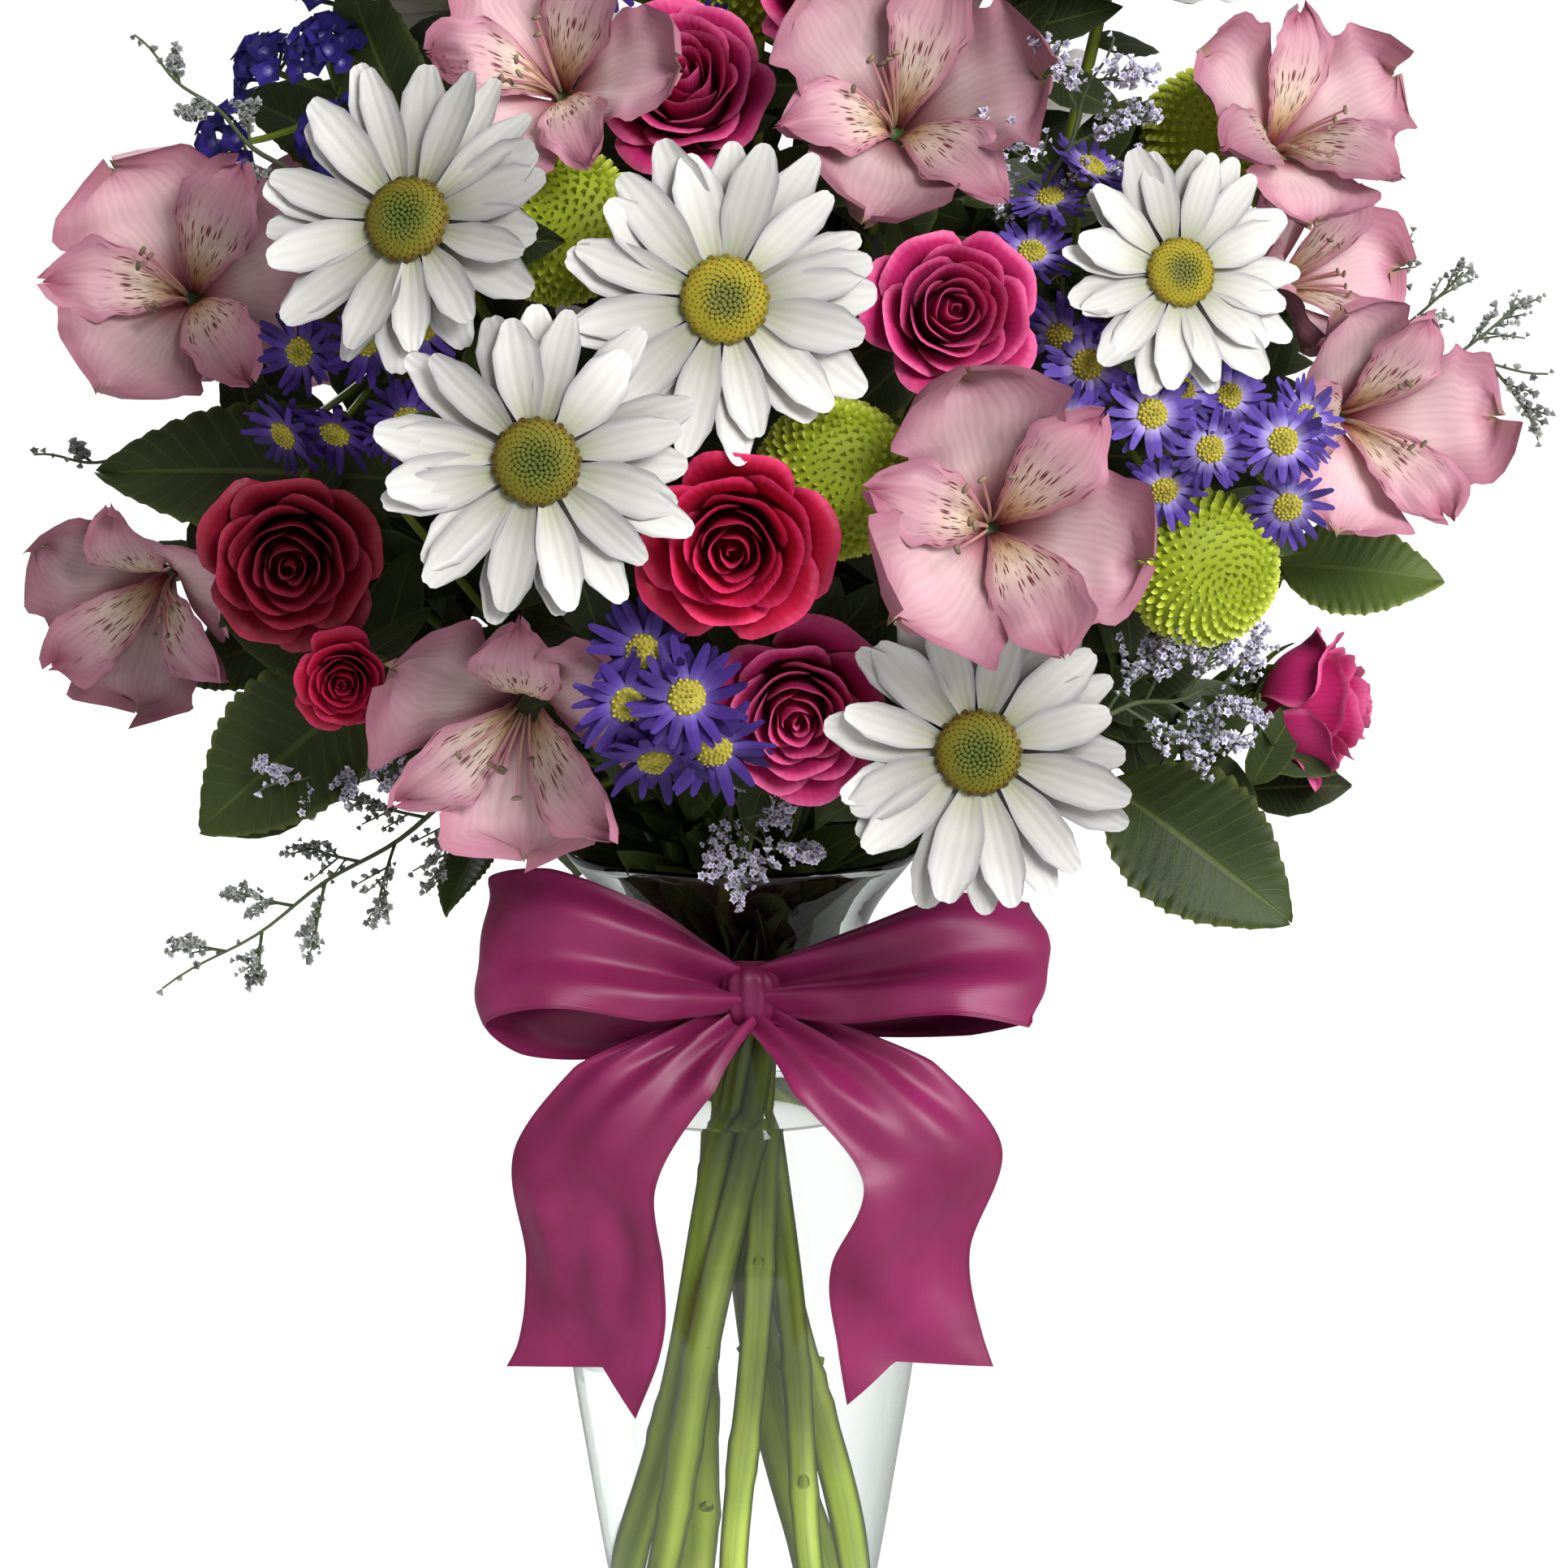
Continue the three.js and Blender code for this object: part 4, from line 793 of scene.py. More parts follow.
mains_dice = dice("main stems")
along_main = steps(60)
t = along_main[None, :, None]
lower = feet[:, None] + (necks - feet)[:, None] * np.minimum(t / AT_NECK, 1)
upper = (crowns - necks)[:, None] * np.maximum((t - AT_NECK) / (1 - AT_NECK), 0)
phases = mains_dice.uniform(0, TURN, (MAIN_STEMS, 1, 3))
sway = 0.5 * sin(phases + t * mains_dice.uniform(9, 16, (MAIN_STEMS, 1, 3))) * ease(0, 0.1, t)
main_paths = lower + upper + sway
knots = mains_dice.uniform(0.1, 0.7, (MAIN_STEMS, 3))
swell = 0.14 * np.exp(-((t - knots[:, None]) / 0.012) ** 2).sum(axis=2)
own_size = mains_dice.uniform(0.82, 1.06, (MAIN_STEMS, 1))
main_radii = (MAIN_RADIUS * (0.76 - 0.1 * along_main) * own_size) * (1 + swell)
mains = tubes(main_paths, main_radii, 16, shade=mains_dice.uniform(0.1, 0.9, MAIN_STEMS))

# The short stubs where leaves were stripped off, one at each swelling
stub_paths = []
for path, at_knots in zip(main_paths, knots):
    for at in at_knots:
        root = np.array([np.interp(at, along_main, path[:, k]) for k in range(3)])
        way = unit(mains_dice.normal(size=3) * [1, 1, 0] + [0, 0, 0.9])
        stub_paths.append(root + way * np.linspace(1.5, mains_dice.uniform(4.6, 6.4), 5)[:, None])
stubs = tubes(np.array(stub_paths), np.array([1.8, 1.5, 1.2, 1.0, 0.6]), 8, shade=0.5)
stubs.uv[:, 1] *= 0.3

# A bloom's stem swells to a cup under it: how much of the cup is there, by the millimetres from the seat
cup_shape = np.array([(0, 1.0), (1.5, 0.94), (4, 0.62), (8, 0.3), (13, 0.1), (18, 0.0)])
t = steps(30) ** 1.6
side_paths, side_radii = [], []
for note in BLOOMS:
    seat, bend, fork = note.stem
    side_paths.append(bezier(seat + 0.5 * note.spot[0][2], bend, fork, t))
    share = np.interp(t * np.linalg.norm(seat - fork), cup_shape[:, 0], cup_shape[:, 1])
    thin = TWIG_RADIUS * (0.95 + 0.45 * t)
    side_radii.append(thin + (0.94 * CUP[note.kind] * note.size - thin) * share)
sides = tubes(np.array(side_paths), np.array(side_radii), 10, shade=dice("sides").uniform(0.2, 0.6, len(BLOOMS)))
print("stems:", len(main_paths), "main,", len(side_paths), "side")

# %% [markdown]
# ## Leaves
#
# A rose or chrysanthemum leaf is folded a little along its rib, quilted between its side veins, and toothed at the
# edge. One formula makes any number of them: the outline is a width along the rib with teeth taken out of it, and
# the height is the fold, the quilting and a slow wave. The large ones stand where the solids have them, the small
# ones grow from the blooms' stems and fill the bouquet's inside with the dark green that shows between blooms.


# %% One formula for every leaf
def leaf_blades(starts, ends, ups, widths, rows, columns, teeth, shade, depth=0.08, fold=0.22, arch=0.35):
    """For each leaf, along its rib from start to end: half width = width/2 * sin(pi t^0.8)^0.8, cut by teeth that
    lean to the tip; height = arch * width * t(1-t) + fold * |s| + quilting between the side veins + a slow wave."""
    starts, ends, ups = (np.asarray(v, float) for v in (starts, ends, ups))
    widths = np.asarray(widths, float)[:, None, None]
    t, s = along_across(rows, columns)
    along = ends - starts
    side = unit(np.cross(ups, along))
    above = unit(np.cross(along, side))
    tooth = (t * teeth) % 1.0
    half = widths / 2 * (0.02 + sin(pi * t ** 0.8) ** 0.8) * (1 - depth * tooth)
    phase = 1.7 * np.arange(len(starts))[:, None, None]
    quilt = 0.02 * cos(TAU * (teeth * t - 1.4 * np.abs(s))) * sin(pi * t) * np.abs(s)
    wave = 0.05 * sin(5 * t + phase + 2.4 * np.sign(s)) * np.abs(s)
    height = arch * widths * t * (1 - t) + widths * (quilt + wave) + fold * half * np.abs(s) ** 1.3
    point = (starts[:, None, None] + along[:, None, None] * (t + 0.02 * np.abs(s))[..., None]
             + side[:, None, None] * (s * half)[..., None] + above[:, None, None] * height[..., None])
    return blades(point[:, :, ::-1], 0.7, shade)


# Each large leaf: its foot and its tip (across, up, deep), its width, and the way that its face looks
LEAVES = [
    ((-76, 282, -56), (-150, 284, -30), 32, (-0.2, -0.8, 0.5)),
    ((-84, 236, -44), (-128, 199, -40), 34, (-0.4, -0.9, 0.1)),
    ((86, 210, -36), (130, 177, -46), 34, (0.1, -0.9, 0.3)),
    ((126, 262, -10), (165, 258, -14), 24, (0.1, -0.8, 0.5)),
    ((-58, 200, -22), (-70, 178, -34), 15, (-0.7, -0.7, 0)),
    ((-98, 246, -20), (-134, 236, -10), 22, (-0.3, -0.8, 0.5)),
    ((-70, 350, -20), (-92, 404, -10), 24, (-0.6, -0.5, 0.6)),
    ((-70, 214, 30), (-118, 198, 62), 34, (-0.4, 0.2, 0.9)),
    ((-26, 206, 50), (-40, 188, 104), 36, (-0.1, 0.5, 0.8)),
    ((34, 212, 50), (58, 192, 106), 36, (0.2, 0.5, 0.8)),
    ((76, 214, 20), (128, 204, 44), 34, (0.4, 0.2, 0.9)),
    ((92, 292, 48), (132, 300, 74), 30, (0.6, 0.8, 0.2)),
    ((-76, 350, 52), (-116, 372, 66), 28, (-0.5, 0.7, 0.5)),
]
ROW_SHARES = np.array([0.03, 0.62, 0.94, 0.84, 1, 0.68, 0.62, 0.03])


def leaf_ends(leaf, deeper):
    """Foot and tip of a leaf that was moved deeper, at the front to the back and at the back to the front."""
    shift = -deeper if leaf[0][2] > 0 else deeper
    return [seen_at(across, up, depth + shift) for across, up, depth in leaf[:2]]


def leaf_probe(leaf, deeper):
    """The corners of the solid leaf's edge, two to a row."""
    start, end = leaf_ends(leaf, deeper)
    along = end - start
    side = unit(np.cross(leaf[3], along))
    above = unit(np.cross(along, side))
    t = steps(8)[1:-1, None]
    half = ROW_SHARES[1:-1, None] * leaf[2] / 2
    rib = start + along * t + above * leaf[2] * 0.35 * t * (1 - t)
    return np.concatenate([rib + side * half + above * 0.22 * half, rib - side * half + above * 0.22 * half])


fits = [best_of(list(range(0, 51, 3)), lambda way: leaf_probe(leaf, way), stem_cloud) for leaf in LEAVES]
leaf_spots = [leaf_ends(leaf, deeper) for leaf, (deeper, _) in zip(LEAVES, fits)]
print("leaves: gaps in mm", [round(gap, 1) for _, gap in fits])

# %% Large leaves with their stalks
# Random leaf tones, and at the far right painted light
leaf_tones_and_light = dice("leaves").uniform(0.25, 0.85, len(LEAVES))
leaf_tones_and_light[3] = 2.2  # The far right leaf is much paler: a paler leaf, and painted light from the right
starts, ends = (np.array([spot[k] for spot in leaf_spots]) for k in range(2))
large = leaf_blades(starts, ends, [leaf[3] for leaf in LEAVES], [leaf[2] * 1.04 for leaf in LEAVES],
                    rows=55, columns=13, teeth=15, shade=leaf_tones_and_light)
stalk_t = steps(12)[:, None]
stalk_paths = np.array([start + 0.12 * (end - start) + (fork_for(start) - start - 0.12 * (end - start)) * stalk_t
                        for start, end in leaf_spots])
leaf_stalks = tubes(stalk_paths, np.linspace(1.1, 1.5, 12), 8, shade=0.35)

# %% Small leaves along the blooms' stems
leafy = dice("small leaves")
small = {"start": [], "end": [], "up": [], "width": []}


def small_leaf(start, end, up, width):
    """Notes down one small leaf. All of them are made together later."""
    for key, value in zip(small, (start, end, up, width)):
        small[key].append(value)


for note in BLOOMS:
    look = note.spot[0][2]
    for step in range(8):
        at = 0.08 + 0.09 * step + leafy.uniform(-0.03, 0.03)
        root = bezier(*note.stem, at)
        spin = GOLDEN * step + leafy.uniform(0, 0.6)
        away = note.spot[0][0] * math.cos(spin) + note.spot[0][1] * math.sin(spin)
        reach = leafy.uniform(24, 38) * (1 if step else 0.8)
        way = unit(away + look * leafy.uniform(-0.25, 0.12))
        if root[2] + way[2] * reach < 205 and np.hypot(*(root + way * reach)[:2]) < 70:
            continue
        small_leaf(root, root + way * reach, look + 0.25 * leafy.normal(size=3), leafy.uniform(0.36, 0.52) * reach)

# %% [markdown]
# Between the blooms a bouquet is dark, because leaves stand behind every gap. In the middle they are upright and face
# the front and the back. In the vase's mouth they face all ways, and they stay clear of the glass. Behind the sprays
# at the sides they are the dark ground on which the small pale flowers show.

# %% Leaves in the bouquet's middle and in the vase's mouth
for note in BLOOMS:
    for at in (0.3, 0.42, 0.54, 0.66, 0.78):
        root = bezier(*note.stem, at + leafy.uniform(-0.05, 0.05))
        way = unit((root - DOME_MIDDLE + [0, 0, 30]) * [1, 0, 1] / 60 + leafy.normal(size=3) * [0.6, 0.12, 0.6])
        reach = leafy.uniform(28, 44)
        tip = root + way * reach
        inside = ((tip[0] - 4) / 146) ** 2 + ((tip[2] - 296) / 116) ** 2
        if inside < 0.86 and tip[2] > 214:
            small_leaf(root, tip, [0.2 * leafy.normal(), -1, 0.2], leafy.uniform(0.48, 0.62) * reach)
for step in range(112):
    spin, low = GOLDEN * step, leafy.uniform(160, 198)
    high = low + leafy.uniform(14, 24)
    wall = np.interp(high, inner_wall[:, 1], inner_wall[:, 0]) - 5 if high < 197 else leafy.uniform(34, 52)
    out = np.array([math.cos(spin), math.sin(spin), 0])
    side = np.array([-out[1], out[0], 0]) * leafy.uniform(-6, 6)
    face = leafy.uniform(0, TAU)
    small_leaf(out * leafy.uniform(4, 9) + [0, 0, low], out * wall + side * (wall / 40) + [0, 0, high],
               [math.cos(face), math.sin(face), 0.25], leafy.uniform(10, 14))
# Round the back's stalks
for notes in back_notes.values():
    for note in notes:
        axes, middle = note.spot
        for step in range(10):
            root = middle - axes[2] * (10 + 4 * step + leafy.uniform(-2, 2))
            spin = GOLDEN * step
            way = unit(axes[0] * math.cos(spin) + axes[1] * math.sin(spin) + axes[2] * leafy.uniform(-0.4, 0.0))
            reach = leafy.uniform(24, 36)
            if (root + way * reach)[2] > 206:
                small_leaf(root, root + way * reach, axes[2] + 0.25 * leafy.normal(size=3),
                           leafy.uniform(0.42, 0.56) * reach)
# Three hang in the neck, under the knot
for root, tip in (((-3, -9, 174), (-12, -17, 141)), ((2, -11, 172), (-4, -20, 147)), ((9, -9, 170), (14, -16, 150))):
    small_leaf(np.array(root, float), np.array(tip, float), [-0.2, -1, 0.3], 13)
# Groups behind gaps that the picture shows dark: their middle, how wide and high they spread, and how many
for across, up, depth, wide, high, count in (
        (100, 226, -14, 20, 20, 26), (70, 352, -14, 14, 22, 9), (-92, 216, -14, 16, 10, 5), (64, 386, -16, 12, 18, 9),
        (-72, 250, -14, 10, 12, 6), (118, 312, 24, 8, 12, 5)):
    middle, group_dice = seen_at(across, up, depth), dice(f"leaves at {across} {up}")
    draw = group_dice.uniform
    for step in range(count):
        root = middle + [wide * draw(-1, 1), draw(-4, 12), high * draw(-1, 0.6)]
        way = unit([0.5 * np.sign(across) + 0.5 * group_dice.normal(), -0.1, 0.4 + 0.5 * group_dice.normal()])
        reach = draw(18, 26)
        small_leaf(root, root + way * reach, [0.3 * group_dice.normal(), -1, 0.3], draw(0.4, 0.55) * reach)
filler = leaf_blades(*small.values(), rows=11, columns=5, teeth=5, shade=draw(0.0, 0.55, len(small["start"])))
print("small leaves:", len(small["start"]))

# %% [markdown]
# The veins of a leaf leave its rib at a slant, so their lines follow the UV along the rib less a share of the way out
# from it. They are paler than the blade, and they sink into it.

# %% Leaf finish
leaf_green, leaf_tree, leaf_shader, leaf_uv = plant_material(
    "leaf_green", [(0, 56, 68, 26), (0.4, 42, 55, 22), (1, 58, 70, 28)],
    rim=(0.44, 76, 86, 38), veins=1.0, vein_share=0.0, spread=1.0, relief=0.3, size=45.0,
    Roughness=0.5, Specular_IOR_Level=0.28)
out_of_rib = from_middle(leaf_tree, leaf_uv.outputs[0])
slant = math_of(leaf_tree, "SUBTRACT", leaf_uv.outputs[1], math_of(leaf_tree, "MULTIPLY", out_of_rib, 0.24))
side_wave = math_of(leaf_tree, "COSINE", math_of(leaf_tree, "MULTIPLY", slant, 15 * TAU))
side_vein = ramp(leaf_tree, side_wave, (0.9, grey(0)), (1.0, grey(1)))
rib_vein = ramp(leaf_tree, out_of_rib, (0.012, grey(1)), (0.035, grey(0)))
vein = math_of(leaf_tree, "MAXIMUM", math_of(leaf_tree, "MULTIPLY", side_vein, 0.4), rib_vein)
under = leaf_shader.inputs["Base Color"].links[0].from_socket
veined = mixed(leaf_tree, math_of(leaf_tree, "MULTIPLY", vein, 0.4), under, paint(108, 120, 58))
leaf_tree.links.new(veined, leaf_shader.inputs["Base Color"])
leaf_bump = leaf_shader.inputs["Normal"].links[0].from_node
dip = math_of(leaf_tree, "SUBTRACT", leaf_bump.inputs["Height"].links[0].from_socket, vein)
leaf_tree.links.new(dip, leaf_bump.inputs["Height"])

green_parts = [(part, stem_green) for part in (mains, stubs, sides, leaf_stalks)]
piece("green_stems_and_leaves", [*green_parts, (large, leaf_green), (filler, leaf_green)], "stem", "stems_and_leaves")

# %% [markdown]
# ## Daisy chrysanthemums
#
# The big white blooms hold about two dozen strap petals in two rings. Each petal is narrow at its root, full towards
# its blunt tip, hollow along the middle between two ridges, and each bends and twists a little on its own. A ring is
# one formula with a row of random numbers for each petal.


# %% White petals
def strap_petals(radius, count, turn, rise, random, rows=13, columns=7, root=0.16):
    """A ring of petals. Along: from the root to the tip, whose outline is drawn back by s^2.4. Across: s times the
    half width, which tapers. Height: rise + 5.8 t^1.7, the edges lifted by s^2, ridges by cos(3 pi s), and each
    petal's own bend, tilt and twist."""
    t, s = along_across(rows, columns)
    each = drawn(random, count)
    size = radius / RADIUS["daisy"]
    length = radius * each(0.87, 1.01)
    blunt = 1 - 0.085 * np.abs(s) ** 2.4 - 0.02 * np.exp(-(s / 0.3) ** 2) * each(0, 1)
    x = root * radius + (length * blunt - root * radius) * t
    taper = (0.32 + 0.68 * ease(0, 0.55, t)) * (1 - 0.4 * ease(0.76, 1.0, t) ** 1.6)
    half = 0.152 * radius * each(0.78, 1.08)
    y = s * taper * half + radius * each(-0.05, 0.05) * t ** 2
    z = rise + each(-0.5, 0.5) + 5.8 * size * t ** 1.7 + size * each(-3.6, 1.6) * t ** 2.4
    z = z + size * (1.2 * s ** 2 * sin(pi * t) ** 0.7 + 0.17 * cos(3 * pi * s) * ease(0.05, 0.3, t))
    z = z + size * each(-1.5, 1.5) * s * t
    angle = turn + np.arange(count)[:, None, None] * TAU / count + each(-0.09, 0.09)
    return blades(spun(x, y, z, angle), 0.5 * size, random.uniform(0, 1, count))


def daisy_rays(note):
    """Two rings of petals, the second a little shorter, higher and turned by half a petal's step."""
    size, random = note.size, dice(note.name)
    radius = RADIUS["daisy"] * size
    rings = [
        strap_petals(radius, 13, 0.0, -0.6 * size, random),
        strap_petals(0.95 * radius, 12, 0.27, 1.2 * size, random),
    ]
    return joined(rings).placed(note.spot)


# Painted shade: the petals turn grey-olive towards the root by the eye, and grey towards their edges, where they
# overlap
white_petal = plant_material(
    "white_petal",
    [(0, 118, 124, 78), (0.16, 164, 166, 138), (0.42, 198, 197, 188), (0.8, 221, 220, 215), (1, 228, 227, 223)],
    rim=(0.32, 172, 171, 172), veins=4.0, vein_share=0.11, vein_colour=(136, 134, 132), wander=0.08,
    spread=0.4, relief=0.16, Roughness=0.62, Specular_IOR_Level=0.25)[0]

# %% [markdown]
# The eye is a low dome of tiny florets, set by the golden angle as they grow. In its middle they are still green and
# shut, and round the edge they have opened into yellow-green cups. Two small shapes are enough, copied to each place
# with its own axes.

# %% Florets of the eye
BUD = turned([(0, -0.9), (0.46, -0.6), (0.54, 0.1), (0, 0.5)], 6)
CUPLET = turned([(0, -0.9), (0.36, -0.7), (0.55, 0.1), (0.58, 0.32), (0, 0.4)], 6)


def frames_on(normals, places):
    """Axes in rows for copies that stand along normals: the first is turned outward from the middle."""
    outward = places * [1, 1, 0] + [1e-6, 0, 0]
    second = unit(np.cross(normals, outward))
    return np.stack([np.cross(second, normals), second, normals], axis=1)


def daisy_eye(note):
    """Florets at radius R * sqrt(i / n) and angle i times the golden angle, on the dome base + rise *
    sqrt(1 - share^2) with a dip in the middle."""
    size = note.size
    count, radius = 250, 0.25 * RADIUS["daisy"] * size
    i = np.arange(count) + 0.5
    share = np.sqrt(i / count)
    height = 1.4 + 3.9 * size * np.sqrt(1 - 0.93 * share ** 2) - 1.2 * size * np.exp(-(share / 0.34) ** 2)
    places = round_points(radius * share, GOLDEN * i, height)
    normals = unit(places * [0.9 / radius, 0.9 / radius, 0] * share[:, None] + [0, 0, 0.8])
    axes = frames_on(normals, places) * (size * (0.9 + 0.45 * share))[:, None, None]
    open_ones = share > 0.55
    parts = [copies(BUD, axes[~open_ones], places[~open_ones], share[~open_ones]),
             copies(CUPLET, axes[open_ones], places[open_ones], share[open_ones])]
    bed = turned([(0, 0.5), (0.9 * radius, 0.7), (1.02 * radius, 1.2), (0.85 * radius, 1.6 + 1.4 * size),
                  (0, 0.8 + 2.8 * size)], 20)
    bed.shade[:] = 0.6
    return joined([*parts, bed]).placed(note.spot)


def eye_finish(name, *tones):
    """Tones from the eye's middle to its rim, with a fine grain."""
    made, tree, shader = new_material(name, Roughness=0.75, Specular_IOR_Level=0.25)
    ring_share = add(tree, "Attribute", attribute_name="shade").outputs["Fac"]
    colour = ramp(tree, ring_share, *zip((0.0, 0.34, 0.56, 0.85, 1.0), [paint(*tone) for tone in tones]))
    grain = add(tree, "Group", {"Size": 500.0}, node_tree=tone_tree).outputs["Slow"]
    final = add(tree, "HueSaturation", {"Value": scaled(tree, grain, 0.4, 0.8), "Color": colour}).outputs[0]
    tree.links.new(final, shader.inputs["Base Color"])
    return made


lighter_eye = eye_finish("daisy_eye", (108, 114, 62), (122, 124, 54), (152, 142, 42), (168, 152, 44), (112, 96, 30))
# Three daisies have darker, more olive eyes than the rest
darker_eye = eye_finish("older_daisy_eye", (92, 106, 44), (98, 108, 42), (112, 112, 38), (126, 116, 34), (84, 62, 22))
DARKER_EYES = ("daisy_upper_left", "daisy_centre_left", "daisy_low_right")


def daisy_parts(note):
    """Petals and eye, each with its finish."""
    return [(daisy_rays(note), white_petal), (daisy_eye(note), darker_eye if note.name in DARKER_EYES else lighter_eye)]


def with_tone(*tones):
    """The names and notes of the blooms in front that have one of these tones."""
    return [(note.name, note) for note in BLOOMS if note.tone in tones]


for name, note in with_tone("daisy"):
    rays, disc = daisy_parts(note)
    piece(name + "_rays", [rays], "white_petal", name + "_petals")
    piece(name + "_disc", [disc], "daisy_eye", name + "_eye")

# %% [markdown]
# ## Roses
#
# A rose petal is a piece of a bowl. Towards the middle the bowls are narrow and tall and their rims close in, and
# towards the outside they are wide and low and their rims roll back. A rose sets one petal after another, each a
# golden angle further round and a little further out. So a petal is a profile of (radius, height) carried round a
# part of the circle, and a running number from the heart outwards sets all its measures.

# %% Rose petals
def rose_petals(note, count=21, rows=13, columns=15):
    """A petal's place k from the heart, 0 to 1, sets its numbers: radius 0.09 + 0.8 k^0.85, top 0.62 - 0.55 k^2.2,
    half angle 118 - 74 k^0.5 degrees, and how far its rim rolls out. Radius and height along it are a cubic from
    the hip out to the radius and up to the top, and then the rim goes out and down by the roll. To its sides it
    ends sooner, by s^3.4, which rounds its corners, and it waves."""
    size, random = note.size, dice(note.name)
    r = RADIUS["rose"] * size
    each = drawn(random, count)
    k = np.arange(count)[:, None, None] / (count - 1)
    t, s = along_across(rows, columns)
    t = t ** 0.8 * (1 - (0.1 + 0.26 * k) * np.abs(s) ** 3.4)
    wide = 0.09 + 0.8 * k ** 0.85
    top = 0.62 - 0.55 * k ** 2.2 + each(-0.03, 0.03)
    roll = (-0.03 + 0.27 * k ** 1.5) * each(0.75, 1.2)
    radius = cubic((0.1, 0.95 * wide, 0.86 * wide, 0.98 * wide), t)
    height = cubic((-0.78, -0.64, 0.5 * top - 0.1, top), t)
    lip = ease(0.62, 1.0, t)
    radius = radius + roll * lip ** 1.3 * (1 + 0.25 * s ** 2)
    height = height - 0.5 * np.abs(roll) * ease(0.8, 1.0, t) ** 1.5 * (1 + 0.8 * s ** 2)
    height = height - (0.1 + 0.13 * k) * np.abs(s) ** 2.6 * ease(0.4, 1, t)
    height = height + 0.035 * k * np.exp(-(s / 0.22) ** 2) * lip
    wave = sin(2.3 * pi * s + each(0, TURN)) * t ** 3
    other = sin(3.1 * pi * s + each(0, TURN)) * t ** 3
    radius = radius + (0.004 + 0.022 * wide) * wave
    height = height + (0.008 + 0.024 * wide) * other
    span = np.radians(118 - 74 * k ** 0.5) * (0.5 + 0.5 * ease(0, 0.5, t)) * each(0.94, 1.06)
    angle = GOLDEN * np.arange(count)[:, None, None] + each(-0.1, 0.1) + s * span
    front = r * round_points(radius, angle, height)
    # Painted shade: petals near the heart get lower shades, so the heart is darker
    shade = np.clip(0.35 + 0.4 * k[:, 0, 0] + random.uniform(-0.2, 0.2, count), 0, 1)
    petals = blades(front[:, :, ::-1], 0.018 * r, shade)
    core = turned(r * np.array([(0, -0.8), (0.16, -0.74), (0.36, -0.5), (0.3, -0.1), (0.12, 0.2), (0, 0.24)]), 14)
    # Painted shade: the core is darkest of all, deep in the heart
    core.shade[:] = 0.05
    core.uv[:] = [0.5, 0.2]
    return joined([petals, core]).placed(note.spot)


def rose_calyx(note):
    """Five pointed sepals under the bloom and the green hip they grow from."""
    r, each = RADIUS["rose"] * note.size, drawn(dice(note.name + " calyx"), 5)
    t, s = along_across(11, 5)
    x = 0.12 + 0.8 * t ** 0.8 * each(0.85, 1.05)
    y = s * 0.15 * np.maximum(sin(pi * t ** 0.6), 0) ** 0.8 * each(0.9, 1.1) + 0.002 * s
    z = -0.79 + 0.04 * t + each(0.2, 0.44) * t ** 2.4 - 0.05 * s ** 2
    angle = np.arange(5)[:, None, None] * TAU / 5 + 0.4 + each(-0.1, 0.1)
    hip = turned(r * np.array([(0, -0.82), (0.16, -0.81), (0.26, -0.76), (0.24, -0.7), (0, -0.68)]), 14)
    return joined([blades(r * spun(x, y, z, angle), 0.5), hip]).placed(note.spot)


def rose_finish(name, base, body, rim):
    """Dark at a petal's base, painted shade deep in the bloom, even over its body, and paler at its rim, a painted
    highlight on the rolled edge. It has a slight velvet sheen.
    """
    return plant_material(
        name, [(0.0, *base), (0.42, *body), (0.84, *body), (1.0, *rim)], rim=(0.4, *rim), veins=15.0,
        vein_share=0.1, vein_colour=base, wander=0.1, spread=0.45, size=80.0, Roughness=0.5,
        Specular_IOR_Level=0.3, Sheen_Weight=0.08, Sheen_Roughness=0.5, Sheen_Tint=paint(*rim))[0]


ROSE_TONES = {
    "rose": rose_finish("magenta_rose", (128, 14, 62), (194, 42, 110), (236, 106, 160)),
    "red_rose": rose_finish("red_rose", (112, 6, 24), (190, 24, 62), (222, 54, 108)),
    "crimson_rose": rose_finish("crimson_rose", (84, 8, 22), (134, 20, 42), (170, 50, 76)),
}


def rose_parts(note):
    """Petals and calyx, each with its finish."""
    return [(rose_petals(note), ROSE_TONES[note.tone]), (rose_calyx(note), stem_green)]


for name, note in with_tone(*ROSE_TONES):
    piece(name + "_petals", rose_parts(note), "rose" if note.tone == "rose" else "crimson_rose", name)

# %% [markdown]
# ## Alstroemeria
#
# Each of these lilies has three broad outer petals, cupped and ruffled with a small point at the tip, and three
# narrow inner ones that stand in front of them and carry the dark flecks. Each petal's rib is a cubic curve out of
# the funnel, and its width swells late along the rib. Six stamens lean out of the funnel, and each ends in a grey
# anther.


